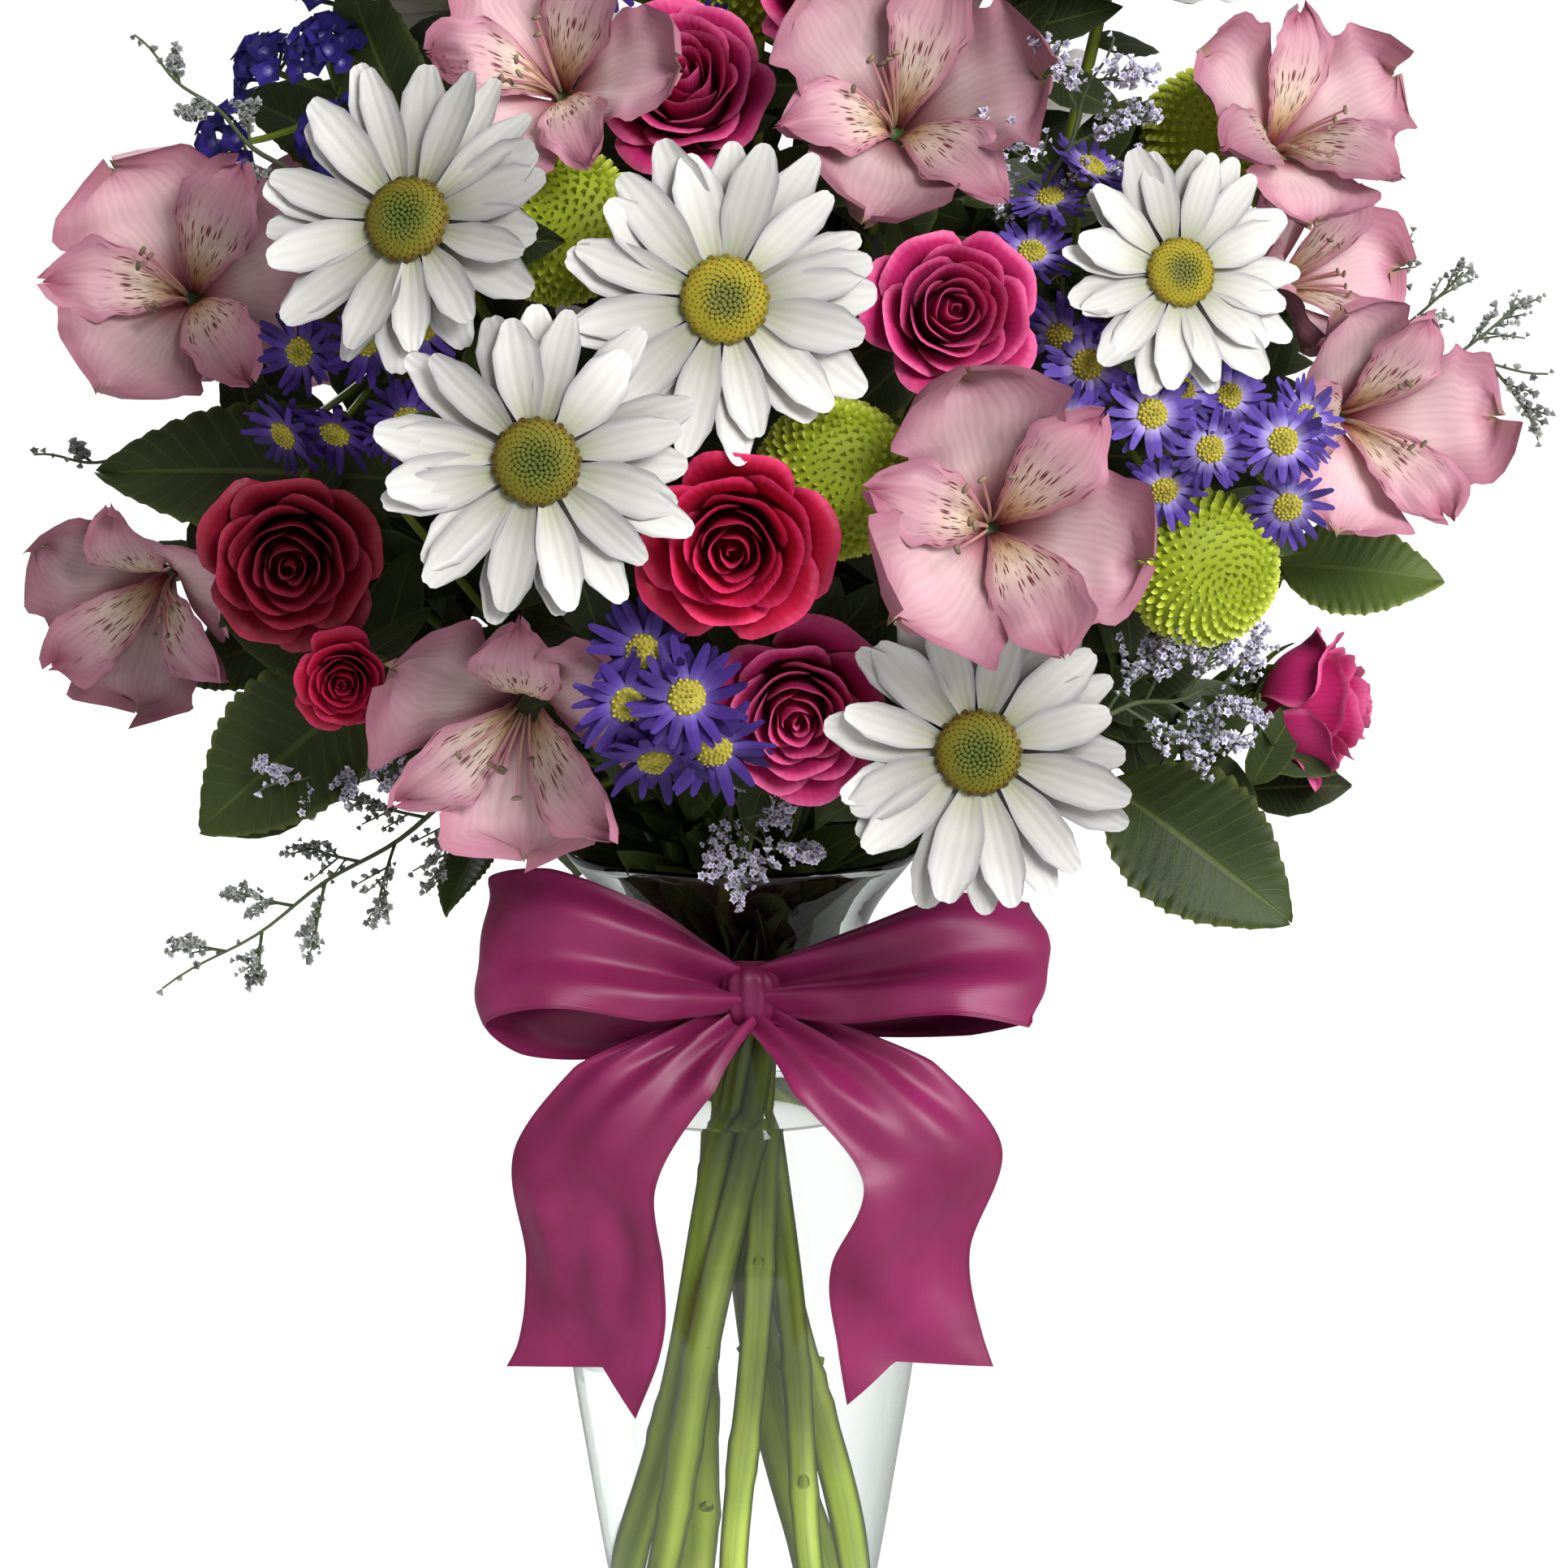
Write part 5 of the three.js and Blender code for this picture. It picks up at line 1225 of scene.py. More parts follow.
# %% Lily petals and stamens
def lily_petals(r, rib, widest, power, lift, crimp, recurve, turns, random, rows=27, columns=15):
    """Rib: a cubic curve of four (radius, height) points, its end bent back by the recurve. Half width: widest *
    sin(pi t^power)^0.7 plus a little, and notched by two sines along the rim. Height: the edges lifted by s^2,
    waved slowly, and crimped by a faster sine that also draws the rim in and out. Across the tip, two sines of s
    make it longer and shorter, so that the rim is frilled all round."""
    t, s = along_across(rows, columns)
    each = drawn(random, len(turns))
    x, z = (cubic([point[k] for point in rib], t) for k in range(2))
    half = (0.03 + widest * np.maximum(sin(pi * t ** power), 0) ** 0.7) * each(0.92, 1.08)
    notches = 0.07 * sin(15 * t + each(0, TURN)) + 0.055 * sin(34 * t + each(0, TURN))
    half = half * (1 + notches * ease(0.35, 0.75, t))
    edge = np.abs(s) ** 1.6 * ease(0.3, 0.75, t)
    slow = sin(6.5 * t + 1.3 * np.sign(s) + each(0, TURN)) * edge
    quick = sin(21 * t + 4 * s + each(0, TURN)) * np.maximum(edge, ease(0.86, 1.0, t))
    z = z + lift * s ** 2 * ease(0.12, 0.7, t) * each(0.5, 1.5) + 2.3 * crimp * slow + 0.9 * crimp * quick
    z = z + each(-0.09, 0.07) * t ** 2 - recurve * ease(0.72, 1.0, t) ** 2
    z = z - 0.03 * np.exp(-(s / 0.14) ** 2) * sin(pi * t) + 0.012 * cos(5 * pi * s) * sin(pi * t)
    y = s * half + each(-0.06, 0.06) * t ** 2
    x = x * (1 + each(-0.07, 0.03) * t) + 0.3 * crimp * quick
    x = x + (0.028 * sin(10 * s + each(0, TURN)) + 0.016 * sin(19 * s + each(0, TURN))) * ease(0.6, 1.0, t)
    angle = turns[:, None, None] + each(-0.09, 0.09)
    return blades(r * spun(x, y, z, angle), 0.5, random.uniform(0, 1, len(turns)))


PRESSED = {"lily_top_left": "daisy_upper_left"}


def pressed_under(part, name):
    """The part bent back where a daisy lies on it: in the daisy's own axes, height <= -1.5 + 60 (d - 1.04), where d
    is the distance from the daisy's middle in its radii."""
    if name not in PRESSED:
        return part
    over = next(note for note in BLOOMS if note.name == PRESSED[name])
    axes, middle = over.spot
    local = (part.corners - middle) @ axes.T
    away = np.hypot(local[:, 0], local[:, 1]) / (RADIUS["daisy"] * over.size)
    local[:, 2] = np.minimum(local[:, 2], -1.5 + 60 * np.maximum(away - 1.04, 0))
    return part.reshaped(local @ axes + middle)


ANTHER = turned([(0, -1.3), (0.5, -1.0), (0.62, 0), (0.45, 1.0), (0, 1.3)], 7)


def lily_parts(note):
    """Outer petals, inner petals, filaments, anthers and the green foot of one bloom, each with its finish."""
    size, random = note.size, dice(note.name)
    r = RADIUS["lily"] * size
    thirds = np.arange(3) * TAU / 3
    outer = lily_petals(r, [(0.03, -0.62), (0.14, -0.34), (0.46, 0.02), (0.94, 0.24)], 0.5, 2.5, 0.22, 0.06, 0.12,
                        thirds, random)
    inner = lily_petals(r, [(0.03, -0.6), (0.09, -0.22), (0.34, 0.22), (0.9, 0.4)], 0.25, 2.2, 0.06, 0.04, 0.12,
                        thirds + pi / 3, random)
    turns = random.uniform(0, TURN) + random.uniform(-1.1, 1.1, 6)
    t = steps(9)
    out = random.uniform(0.16, 0.34, 6)[:, None] * t ** 1.7 + 0.04
    up = -0.52 + random.uniform(0.6, 0.84, 6)[:, None] * t
    paths = r * round_points(out, turns[:, None], up)
    filaments = tubes(paths, 0.42 - 0.12 * t, 6)
    ends = paths[:, -1]
    lying = unit(np.stack([-sin(turns), cos(turns), random.uniform(-0.6, 0.6, 6)], -1))
    anthers = copies(ANTHER, frames_on(lying, ends) * size, ends, random.uniform(0, 1, 6))
    hip = turned(r * np.array([(0, -0.66), (0.07, -0.64), (0.085, -0.6), (0.06, -0.55), (0, -0.59)]), 12)
    parts = [pressed_under(part.placed(note.spot), note.name) for part in (outer, inner, filaments, anthers, hip)]
    return list(zip(parts, (pink, flecked, filament, anther, stem_green)))


def lily_finish(name, along, rim, veins, vein_share, spread):
    """What both kinds of petal share: dark lines along them, fine relief and a soft sheen."""
    return plant_material(
        name, along, rim, veins, vein_share, vein_colour=(140, 66, 92), wander=0.1, spread=spread, relief=0.1,
        size=55.0, Roughness=0.5, Specular_IOR_Level=0.3)


# Both petal finishes are darkest at their base: partly the throat's own deep red, partly painted shade deep in the
# funnel
pink = lily_finish(
    "dusty_pink_petal",
    [(0, 112, 52, 52), (0.16, 146, 78, 86), (0.32, 186, 132, 138), (0.56, 222, 192, 194), (0.8, 210, 170, 178),
     (0.96, 180, 124, 140), (1, 150, 126, 92)],
    (0.16, 176, 114, 134), 17.0, 0.1, 0.5)[0]
flecked, fleck_tree, fleck_shader, fleck_uv = lily_finish(
    "flecked_petal",
    [(0, 118, 46, 48), (0.14, 164, 92, 82), (0.3, 208, 176, 134), (0.5, 224, 206, 186), (0.72, 206, 164, 172),
     (1, 164, 88, 114)],
    (0.26, 186, 124, 144), 11.0, 0.11, 0.4)
# Flecks: cells of noise drawn long in the petal's own direction, only on its inner half
fleck_place = add(fleck_tree, "Mapping", {"Vector": add(fleck_tree, "UVMap", uv_map="across_along").outputs[0]})
fleck_place.inputs["Scale"].default_value = (28.0, 8.5, 1.0)
cells = add(fleck_tree, "TexVoronoi", {"Vector": fleck_place.outputs[0], "Scale": 1.0, "Randomness": 0.85})
dark_cell = ramp(fleck_tree, cells.outputs["Distance"], (0.26, grey(1)), (0.4, grey(0)))
zone = ramp(fleck_tree, fleck_uv.outputs[1], (0.04, grey(0)), (0.14, grey(1)), (0.62, grey(1)), (0.78, grey(0)))
fleck_mask = math_of(fleck_tree, "MULTIPLY", dark_cell, zone)
plain = fleck_shader.inputs["Base Color"].links[0].from_socket
fleck_tree.links.new(mixed(fleck_tree, fleck_mask, plain, paint(104, 22, 48)), fleck_shader.inputs["Base Color"])

filament = plant_material("filament", [(0, 210, 190, 150), (1, 206, 134, 150)], Roughness=0.5)[0]
anther = plant_material("anther", [(0, 150, 128, 96), (1, 112, 96, 84)], veins=2.0, vein_share=0.4, spread=0.6,
                        Roughness=0.8)[0]

for name, note in with_tone("lily"):
    piece(name + "_petals", lily_parts(note), "pink_petal", name)

# %% [markdown]
# ## Small asters
#
# The blue-violet asters come in clusters. Each head is two rings of thin rays round a yellow-green disc, above a cup
# of green scales, and its twig joins the cluster's own stalk. The heads are small, so each ray is only a few faces.


# %% Aster heads
def aster_rays(r, random, count=14):
    """Rays in two rings. Along: from 0.18 r to about r. Half width: 0.088 r times the root of a sine, plus a
    little. Height: 0.17 r * t^1.5, with each ray's own bend up or down."""
    t, s = along_across(6, 3)
    each = drawn(random, count)
    rings = []
    for ring in range(2):
        x = r * (0.18 + (each(0.7, 0.88) - 0.04 * ring) * t * (1 - 0.05 * s ** 2))
        y = s * r * 0.088 * (0.2 + np.maximum(sin(pi * (0.04 + 0.88 * t) ** 0.8), 0) ** 0.5) * each(0.8, 1.1)
        z = r * (0.16 * ring + 0.17 * t ** 1.5 + each(-0.24, 0.2) * t ** 2 + 0.03 * (1 - s ** 2))
        angle = (np.arange(count)[:, None, None] + 0.5 * ring + each(-0.25, 0.25)) * TAU / count
        y = y + r * each(-0.1, 0.1) * t ** 2
        rings.append(blades(spun(x, y, z, angle), 0.28, random.uniform(0, 1, count)))
    return joined(rings)


SPECK = turned([(0, -0.6), (0.4, -0.2), (0.44, 0.25), (0, 0.6)], 5)
SCALES = turned([(0, -4.2), (0.9, -4.0), (1.9, -2.6), (2.7, -0.9), (2.5, 0.5), (1.4, 0.9), (0, 1.0)], 10)


def aster_disc(r):
    """Small florets by the golden angle on a low dome."""
    i = np.arange(40) + 0.5
    share = np.sqrt(i / 40)
    places = round_points(0.3 * r * share, GOLDEN * i, 0.22 * r * (1 - 0.5 * share ** 2) + 0.1 * r)
    specks = copies(SPECK, frames_on(unit(places * [0.3, 0.3, 0] + [0, 0, 1]), places), places, share)
    return joined([specks, turned(r * np.array([(0, 0), (0.3, 0.08), (0.31, 0.2), (0.2, 0.29), (0, 0.32)]), 12)])


def cluster_twigs(places, looks):
    """Twigs from each head's cup to the cluster's stalk, as the solid has them."""
    foot = np.array([0, 0, -float(SEAT["asters"])])
    i = np.arange(len(places))[:, None]
    ends = np.where(i == 0, foot, places[0] + (foot - places[0]) * (0.6 + 0.07 * i))
    t = steps(9)[:, None]
    starts = places - 3 * looks
    bends = places - looks * 0.42 * np.linalg.norm(starts - ends, axis=1, keepdims=True)
    paths = np.stack([bezier(start, bend, end, t[:, 0]) for start, bend, end in zip(starts, bends, ends)])
    return tubes(paths, np.linspace(0.75, 1.05, 9), 6, shade=0.4)


def near_bloom(place, kinds, share, low, high):
    """Whether a place is less than a share of the radius from the middle line of a bloom of these kinds, between two
    heights over it."""
    for note in BLOOMS:
        local = note.spot[0] @ (place - note.spot[1])
        reach = share * RADIUS[note.kind] * note.size
        if note.kind in kinds and np.hypot(local[0], local[1]) < reach and low < local[2] < high:
            return True
    return False


def aster_cluster(note):
    """Rays, discs, and green parts of a cluster, each with its finish. The solid's heads come first, then up to
    three that fill in between them. A head that a daisy's petals cover is still a small bud."""
    random = dice(note.name)
    places, looks = aster_places(note.heads, note.spread)
    axes, middle = note.spot
    between = round_points(15.5 * note.spread, GOLDEN * np.arange(3) + 2.0, -8.0)
    between = between[[not near_bloom(middle + place @ axes, ("rose", "button"), 1.35, -18, 18) for place in between]]
    places = np.concatenate([places, between])
    looks = np.concatenate([looks, unit(between * [0.05, 0.05, 0] + [0, 0, 1])])
    rays, discs, greens = [], [], [cluster_twigs(places, looks)]
    for place, look in zip(places, looks):
        size = random.uniform(1.05, 1.22) * (1.2 if note.name == "aster_low" else 1)
        if near_bloom(middle + place @ axes, ("daisy",), 0.85, -14, 6):
            size = 0.5
        spot = spot_of(place, unit(look + 0.25 * random.normal(size=3) * [1, 1, 0]), random.uniform(0, 60))
        rays.append(aster_rays(RADIUS["asters"] * size, random).placed(spot))
        discs.append(aster_disc(RADIUS["asters"] * size).placed(spot))
        greens.append(SCALES.placed(spot))
    ray = deep_ray if note.name in DEEP_CLUSTERS else pale_ray
    return [(joined(kind).placed(note.spot), finish)
            for kind, finish in ((rays, ray), (discs, aster_yellow), (greens, stem_green))]


def ray_finish(name, root, middle, tip):
    """Pale at the eye and deep towards the tip, with two lines along the ray."""
    return plant_material(
        name, [(0.0, *root), (0.3, *middle), (0.55, *tip), (1.0, *tip)], veins=2.0, vein_share=0.14,
        vein_colour=(56, 34, 118), wander=0.02, spread=0.8, relief=0.1, Roughness=0.6, Specular_IOR_Level=0.25)[0]


pale_ray = ray_finish("pale_aster_ray", (214, 206, 232), (150, 134, 204), (90, 68, 156))
deep_ray = ray_finish("deep_aster_ray", (138, 122, 186), (88, 66, 148), (66, 42, 122))
DEEP_CLUSTERS = ("aster_left", "aster_low", "aster_top")
aster_yellow = plant_material(
    "aster_disc", [(0, 150, 146, 40), (1, 184, 172, 62)], veins=1.0, vein_share=0.0, spread=0.8,
    size=400.0, Roughness=0.7)[0]

for name, note in with_tone("asters"):
    piece(name + "_heads", aster_cluster(note), "violet", name)

# %% [markdown]
# ## Statice
#
# Statice is the papery, nearly blue-black cluster at the upper left. What looks like its petals are dry cups with
# five lobes, packed along short branches. One cup is turned from a profile and its circle is waved into five lobes.


# %% Statice cups
def lobed(surface, lobes, share, full):
    """A turned surface whose circles are waved: radius * (1 + share * cos(lobes * angle)) where it is wide. Its UV
    along is the share of a full radius, so a colour can run from its throat to its rim."""
    wide = np.hypot(surface.corners[:, 0], surface.corners[:, 1])
    turn = np.arctan2(surface.corners[:, 1], surface.corners[:, 0])
    grow = 1 + share * cos(lobes * turn) * (wide / wide.max()) ** 2
    made = surface.reshaped(surface.corners * np.stack([grow, grow, np.ones_like(grow)], -1))
    made.uv[:, 1] = np.clip(np.hypot(made.corners[:, 0], made.corners[:, 1]) / full, 0, 1)
    return made


PAPER_CUP = lobed(turned([(0, -3.4), (0.5, -3.2), (0.75, -1.2), (1.9, 0.5), (3.5, 1.2), (3.45, 0.95), (1.7, 0.1),
                          (0.45, -0.9), (0, -1.0)], 15), 5, 0.17, 3.6)
CUPS = 17


def statice_cluster(note):
    """A dome of cups over each head of the cluster, each leaning out, and the twigs that carry them."""
    random = dice(note.name)
    places, looks = aster_places(note.heads, note.spread)
    cups, greens = [], [cluster_twigs(places, looks)]
    i = np.arange(CUPS) + 0.5
    share = np.sqrt(i / CUPS)
    for place, look in zip(places, looks):
        on_dome = round_points(8.6 * share, GOLDEN * i + random.uniform(0, 6), 3.5 - 6.5 * share ** 2)
        on_dome = on_dome + random.normal(0, 0.7, on_dome.shape)
        normals = unit(on_dome * [0.12, 0.12, 0] + [0, 0, 1] + random.normal(0, 0.16, on_dome.shape))
        axes = frames_on(normals, on_dome) * random.uniform(0.7, 1.05, (CUPS, 1, 1))
        spot = spot_of(place, look)
        cups.append(copies(PAPER_CUP, axes, on_dome, random.uniform(0, 1, CUPS)).placed(spot))
        twig_ends = on_dome - 3 * normals
        gather = np.array([0, 0, -6.0])
        paths = gather + (twig_ends - gather)[:, None] * steps(5)[None, :, None]
        greens.append(tubes(paths, 0.45, 5, shade=0.3).placed(spot))
    return [(joined(kind).placed(note.spot), finish)
            for kind, finish in ((cups, statice_blue), (greens, stem_green))]


statice_blue = plant_material(
    "statice_paper", [(0, 196, 196, 220), (0.2, 120, 112, 190), (0.42, 58, 46, 140), (1, 44, 32, 112)],
    veins=5.0, vein_share=0.25, vein_colour=(24, 16, 74), wander=0.05, spread=0.7, relief=0.2,
    Roughness=0.65, Specular_IOR_Level=0.25)[0]

for name, note in with_tone("statice"):
    piece(name + "_cups", statice_cluster(note), "deep_blue", name)

# %% [markdown]
# ## Green button blooms
#
# A button bloom is a ball of short incurved florets, like scales. They follow the golden angle over the whole ball,
# small and shut round the pole and longer and more open towards the edge, and each is a little scoop.

# %% Scoops over a ball
scoop_t, scoop_s = steps(4)[:, None], np.linspace(-1, 1, 3)[None]
scoop_half = (0.72 + 0.28 * sin(pi * scoop_t ** 0.9)) * (1 - 0.25 * scoop_t ** 3)
scoop_grid = np.stack([-0.8 + 2.9 * scoop_t * (1 - 0.1 * scoop_s ** 2), scoop_s * scoop_half,
                       -0.7 + 1.7 * scoop_t ** 0.7 - 0.5 * scoop_t ** 3 + 0.5 * scoop_s ** 2 * scoop_t], -1)
SCOOP = blades(scoop_grid[None], 0.3)


def button_florets(note, count=480):
    """The ball: radius and height by the solid's own profile, read at equal shares of its area. The florets turn
    from upright at the pole to lying outward at the edge, and they grow on the way."""
    size, random = note.size, dice(note.name)
    r = RADIUS["button"] * size
    profile = r * np.array([(0, 0.74), (0.5, 0.7), (0.84, 0.5), (0.98, 0.15), (0.9, -0.25), (0.54, -0.62)])
    smooth = through(profile, 120)
    step = np.linalg.norm(np.diff(smooth, axis=0), axis=1)
    area = np.concatenate([[0], np.cumsum(step * (smooth[1:, 0] + smooth[:-1, 0]))])
    share = ((np.arange(count) + 0.5) / count) ** 1.12
    ring, height = (np.interp(share, area / area[-1], smooth[:, k]) for k in range(2))
    places = round_points(0.95 * ring, GOLDEN * np.arange(count), 0.95 * height)
    normals = unit(places * [1, 1, 1.7] + [0, 0, 0.1 * r])
    axes = frames_on(normals, places)
    tip = np.radians(66 - 58 * np.sqrt(share) + random.uniform(-9, 9, count))[:, None]
    axes = np.stack([cos(tip) * axes[:, 0] + sin(tip) * axes[:, 2], axes[:, 1],
                     cos(tip) * axes[:, 2] - sin(tip) * axes[:, 0]], axis=1)
    axes = axes * (size * (0.62 + 0.5 * np.sqrt(share)))[:, None, None] * random.uniform(0.88, 1.12, (count, 1, 1))
    florets = copies(SCOOP, axes, places, np.clip(0.9 * share + random.uniform(-0.1, 0.25, count), 0, 1))
    ball = turned(np.concatenate([[(0, -0.68 * r)], (smooth * [0.95, 0.95])[::-6], [(0, 0.72 * r)]]), 18)
    ball.shade[:] = 0.3
    ball.uv[:, 1] = 0.3
    return [(joined([florets, ball]).placed(note.spot), button_green)]


button_green = plant_material(
    "button_green", [(0, 110, 134, 24), (0.35, 164, 182, 38), (0.75, 202, 214, 66), (1, 224, 230, 116)],
    veins=3.0, vein_share=0.1, vein_colour=(96, 124, 30), spread=0.4, relief=0.1, Roughness=0.6,
    Specular_IOR_Level=0.3)[0]

for name, note in with_tone("button"):
    piece(name + "_florets", button_florets(note), "lime", name)

# %% [markdown]
# ## Misty sprays
#
# Between the large blooms stand sprays so fine that they read as mist: a stalk, twigs to both sides, and on every
# twig a row of flowers hardly wider than a grain of rice, all on its upper side. Each flower is a turned funnel with
# five lobes.

# %% Fine sprays
# For each: its foot and its tip (across, up, deep), how many twigs, and how long the lowest is
SPRAYS = {
    "misty_top_right": ((62, 330, -60), (86, 386, -92), 6, 26),
    "misty_upper_left": ((-100, 350, -20), (-141, 386, -24), 4, 12),
    "misty_side_left": ((-118, 288, 4), (-166, 288, 0), 4, 9),
    "misty_low_left": ((-58, 214, -40), (-138, 160, -40), 8, 22),
    "misty_low": ((-8, 216, -48), (8, 190, -72), 5, 20),
    "misty_right": ((80, 226, -62), (122, 236, -70), 7, 24),
    "misty_far_right": ((124, 318, 8), (189, 308, 6), 6, 34),
}
PALE_SPRAYS = ("misty_right", "misty_top_right", "misty_low")
GRAIN = lobed(turned([(0, -1.5), (1.3, 0.5), (0, 0.0)], 10), 5, 0.24, 1.5)


def misty_spray(name, start, end, twigs, reach):
    """The stalk and twigs of the solid, branchlets from each twig, and flowers along each branchlet."""
    random = dice(name)
    branchlets = 14 if name in PALE_SPRAYS else 9
    start, end = seen_at(*start), seen_at(*end)
    along = end - start
    side = unit(np.cross(along, [0, -1, 0.3]))
    deep = unit(np.cross(along, side))

    def on_stalk(t):
        """The stalk's line, in one slow bend and many small ones."""
        return start + along * t + deep * 5 * sin(pi * t) + side * 0.8 * sin(15 * t)

    foot = start + (fork_for(start) - start) * np.linspace(1, 0, 14)[:-1, None]
    stalk = np.concatenate([foot, on_stalk(steps(24)[:, None])])
    stems = [tubes(stalk[None], np.interp(steps(len(stalk)), [0, 0.4, 1], [1, 0.7, 0.25]), 7)]
    twig_paths, branch_paths = [], []
    for i in range(twigs):
        at = 0.12 + 0.8 * i / twigs
        turn = 1 if i % 2 else -1
        root = on_stalk(at)
        way = unit(side * turn + unit(along) * 0.9 + deep * 0.7 * math.sin(2.4 * i))
        long = reach * (1.05 - 0.6 * at)
        bend = root + way * long * 0.5 + unit(along) * 0.06 * long
        path = bezier(root, bend, root + way * long, steps(10))
        twig_paths.append(path)
        for k in range(branchlets):
            share = 0.2 + 0.8 * (k + 0.5) / branchlets
            base = path[min(int(share * 9), 9)]
            spread = unit(way + 0.9 * unit(random.normal(size=3)) + 0.3 * unit(along))
            length = min(long * 0.4, 10) * random.uniform(0.6, 1.15) * (1.2 - 0.5 * share)
            far = steps(6)[:, None]
            branch_paths.append(base + spread * length * far + unit(along) * 0.12 * length * far ** 2)
    branches = np.array([*branch_paths, on_stalk(np.linspace(0.72, 1.0, 6)[:, None])])
    stems.append(tubes(np.array(twig_paths), np.linspace(0.45, 0.28, 10), 5))
    stems.append(tubes(branches, np.linspace(0.28, 0.18, 6), 4))
    rows = (1, 2, 3, 4, 5)
    places = np.concatenate([branches[:, k] for k in rows])
    lead = np.concatenate([unit(branches[:, k] - branches[:, k - 1]) for k in rows])
    normals = unit(lead + 0.9 * random.normal(size=lead.shape) + [0, -0.1, 0.35])
    places = places + 1.1 * normals
    grains = copies(GRAIN, frames_on(normals, places) * random.uniform(0.42, 0.85, (len(places), 1, 1)),
                    places, random.uniform(0, 1, len(places)))
    return joined(stems), grains


misty_pale = plant_material(
    "misty_flower", [(0, 112, 100, 130), (0.35, 160, 150, 196), (0.6, 222, 221, 230), (1, 240, 239, 242)],
    veins=5.0, vein_share=0.1, vein_colour=(120, 108, 170), spread=0.8, relief=0.05, size=160.0, Roughness=0.7)[0]
misty_stem = plant_material(
    "misty_stem", [(0, 62, 78, 40), (1, 96, 104, 70)], veins=4.0, vein_share=0.15,
    vein_colour=(50, 64, 34), spread=0.4, Roughness=0.6)[0]
# Most sprays have darker grey flowers, the pale ones white and lavender
misty_darker = plant_material(
    "misty_bud", [(0, 96, 104, 84), (0.45, 132, 136, 124), (0.8, 178, 178, 184), (1, 222, 222, 226)],
    veins=5.0, vein_share=0.1, vein_colour=(80, 82, 96), spread=0.8, relief=0.05, size=160.0, Roughness=0.7)[0]
second = misty_spray("misty_over_leaf", (-74, 226, -50), (-114, 208, -54), 6, 15)
for name, (start, end, twigs, reach) in SPRAYS.items():
    stems, grains = misty_spray(name, start, end, twigs, reach)
    parts = [(stems, misty_stem), (grains, misty_pale if name in PALE_SPRAYS else misty_darker)]
    if name == "misty_low_left":
        parts += [(second[0], misty_stem), (second[1], misty_pale)]
    piece(name + "_spray", parts, "misty", name)

# %% [markdown]
# ## The sprays at the back
#
# A bouquet in the round has blooms behind as well. The back's blooms stand on shared stalks, so each spray is one
# piece. The stalk's fork is found as the side stems' bends were.

# %% Fork of a back spray
SINK = {"daisy": 0.4, "rose": 2, "lily": 0.5, "button": 2, "asters": 1}
STALK_RADIUS = 1.8


def back_twigs(name, kind):
    """Twigs from each seat to the shared fork, and the stalk from the fork to a main stem."""
    notes = back_notes[name]
    middle = np.mean([note.spot[1] for note in notes], axis=0)
    seats = [note.spot[1] + note.spot[0][2] * (SINK[kind] - SEAT[kind]) for note in notes]
    looks = [note.spot[0][2] for note in notes]
    cloud = corners_of(name)

    def fork_at(way):
        """The fork, a share of the way from the blooms' middle to the crown, and aside."""
        return middle + (np.array([way[1], 12, CROWN_HEIGHT + 6]) - middle) * way[0]

    def probes(way):
        """The stalk's first ring of corners, at the fork."""
        return ring_probe(fork_at(way), fork_at(way), fork_for(fork_at(way)), STALK_RADIUS, 3)

    ways = [(share, aside) for share in (0.6, 0.5, 0.7, 0.4, 0.3) for aside in (0, 15, -15, 30, -30)]
    way, gap = best_of(ways, probes, cloud)
    fork = fork_at(way)
    paths = []
    for seat, look in zip(seats, looks):
        route = np.array([seat + 0.3 * look, seat - 7 * look, seat - 15 * look, (seat - 14 * look + fork) / 2, fork])
        paths.append(through(route, 24))
    radii = np.interp(steps(24), [0, 0.1, 0.35, 1], [CUP[kind] * 0.7, 2.0, 1.3, 1.7])
    stalk = fork + (fork_for(fork) - fork) * steps(12)[:, None]
    print(name, "fork gap in mm", round(gap, 2))
    return joined([tubes(np.array(paths), radii, 8, shade=0.3), tubes(stalk[None], STALK_RADIUS, 8, shade=0.3)])


MAKERS = {"daisy": daisy_parts, "lily": lily_parts, "rose": rose_parts, "button": button_florets,
          "asters": aster_cluster}
SLOTS = {"daisy": "white_petal", "lily": "pink_petal", "rose": "rose", "button": "lime", "asters": "violet"}
for name, kind, _ in BACK_SPRAYS:
    parts = [part for note in back_notes[name] for part in MAKERS[kind](note)]
    piece(name + "_spray", [*parts, (back_twigs(name, kind), stem_green)], SLOTS[kind], name)

# %% [markdown]
# ## The ribbon
#
# The bow is one length of florist's ribbon, 36.5 mm wide: a band round the neck, a knot, two loops and two tails cut
# with a notch. Cloth keeps its width, so where a strip looks narrow it is gathered into pleats. Each strip here is a
# width laid across a route, and its pleats are as deep as it takes to hide the rest of the width.

# %% Strips along routes
KNOT = np.array([2.0, -37.1, 166.0])
CLOTH_WIDTH, CLOTH_THICKNESS = 36.5, 0.45
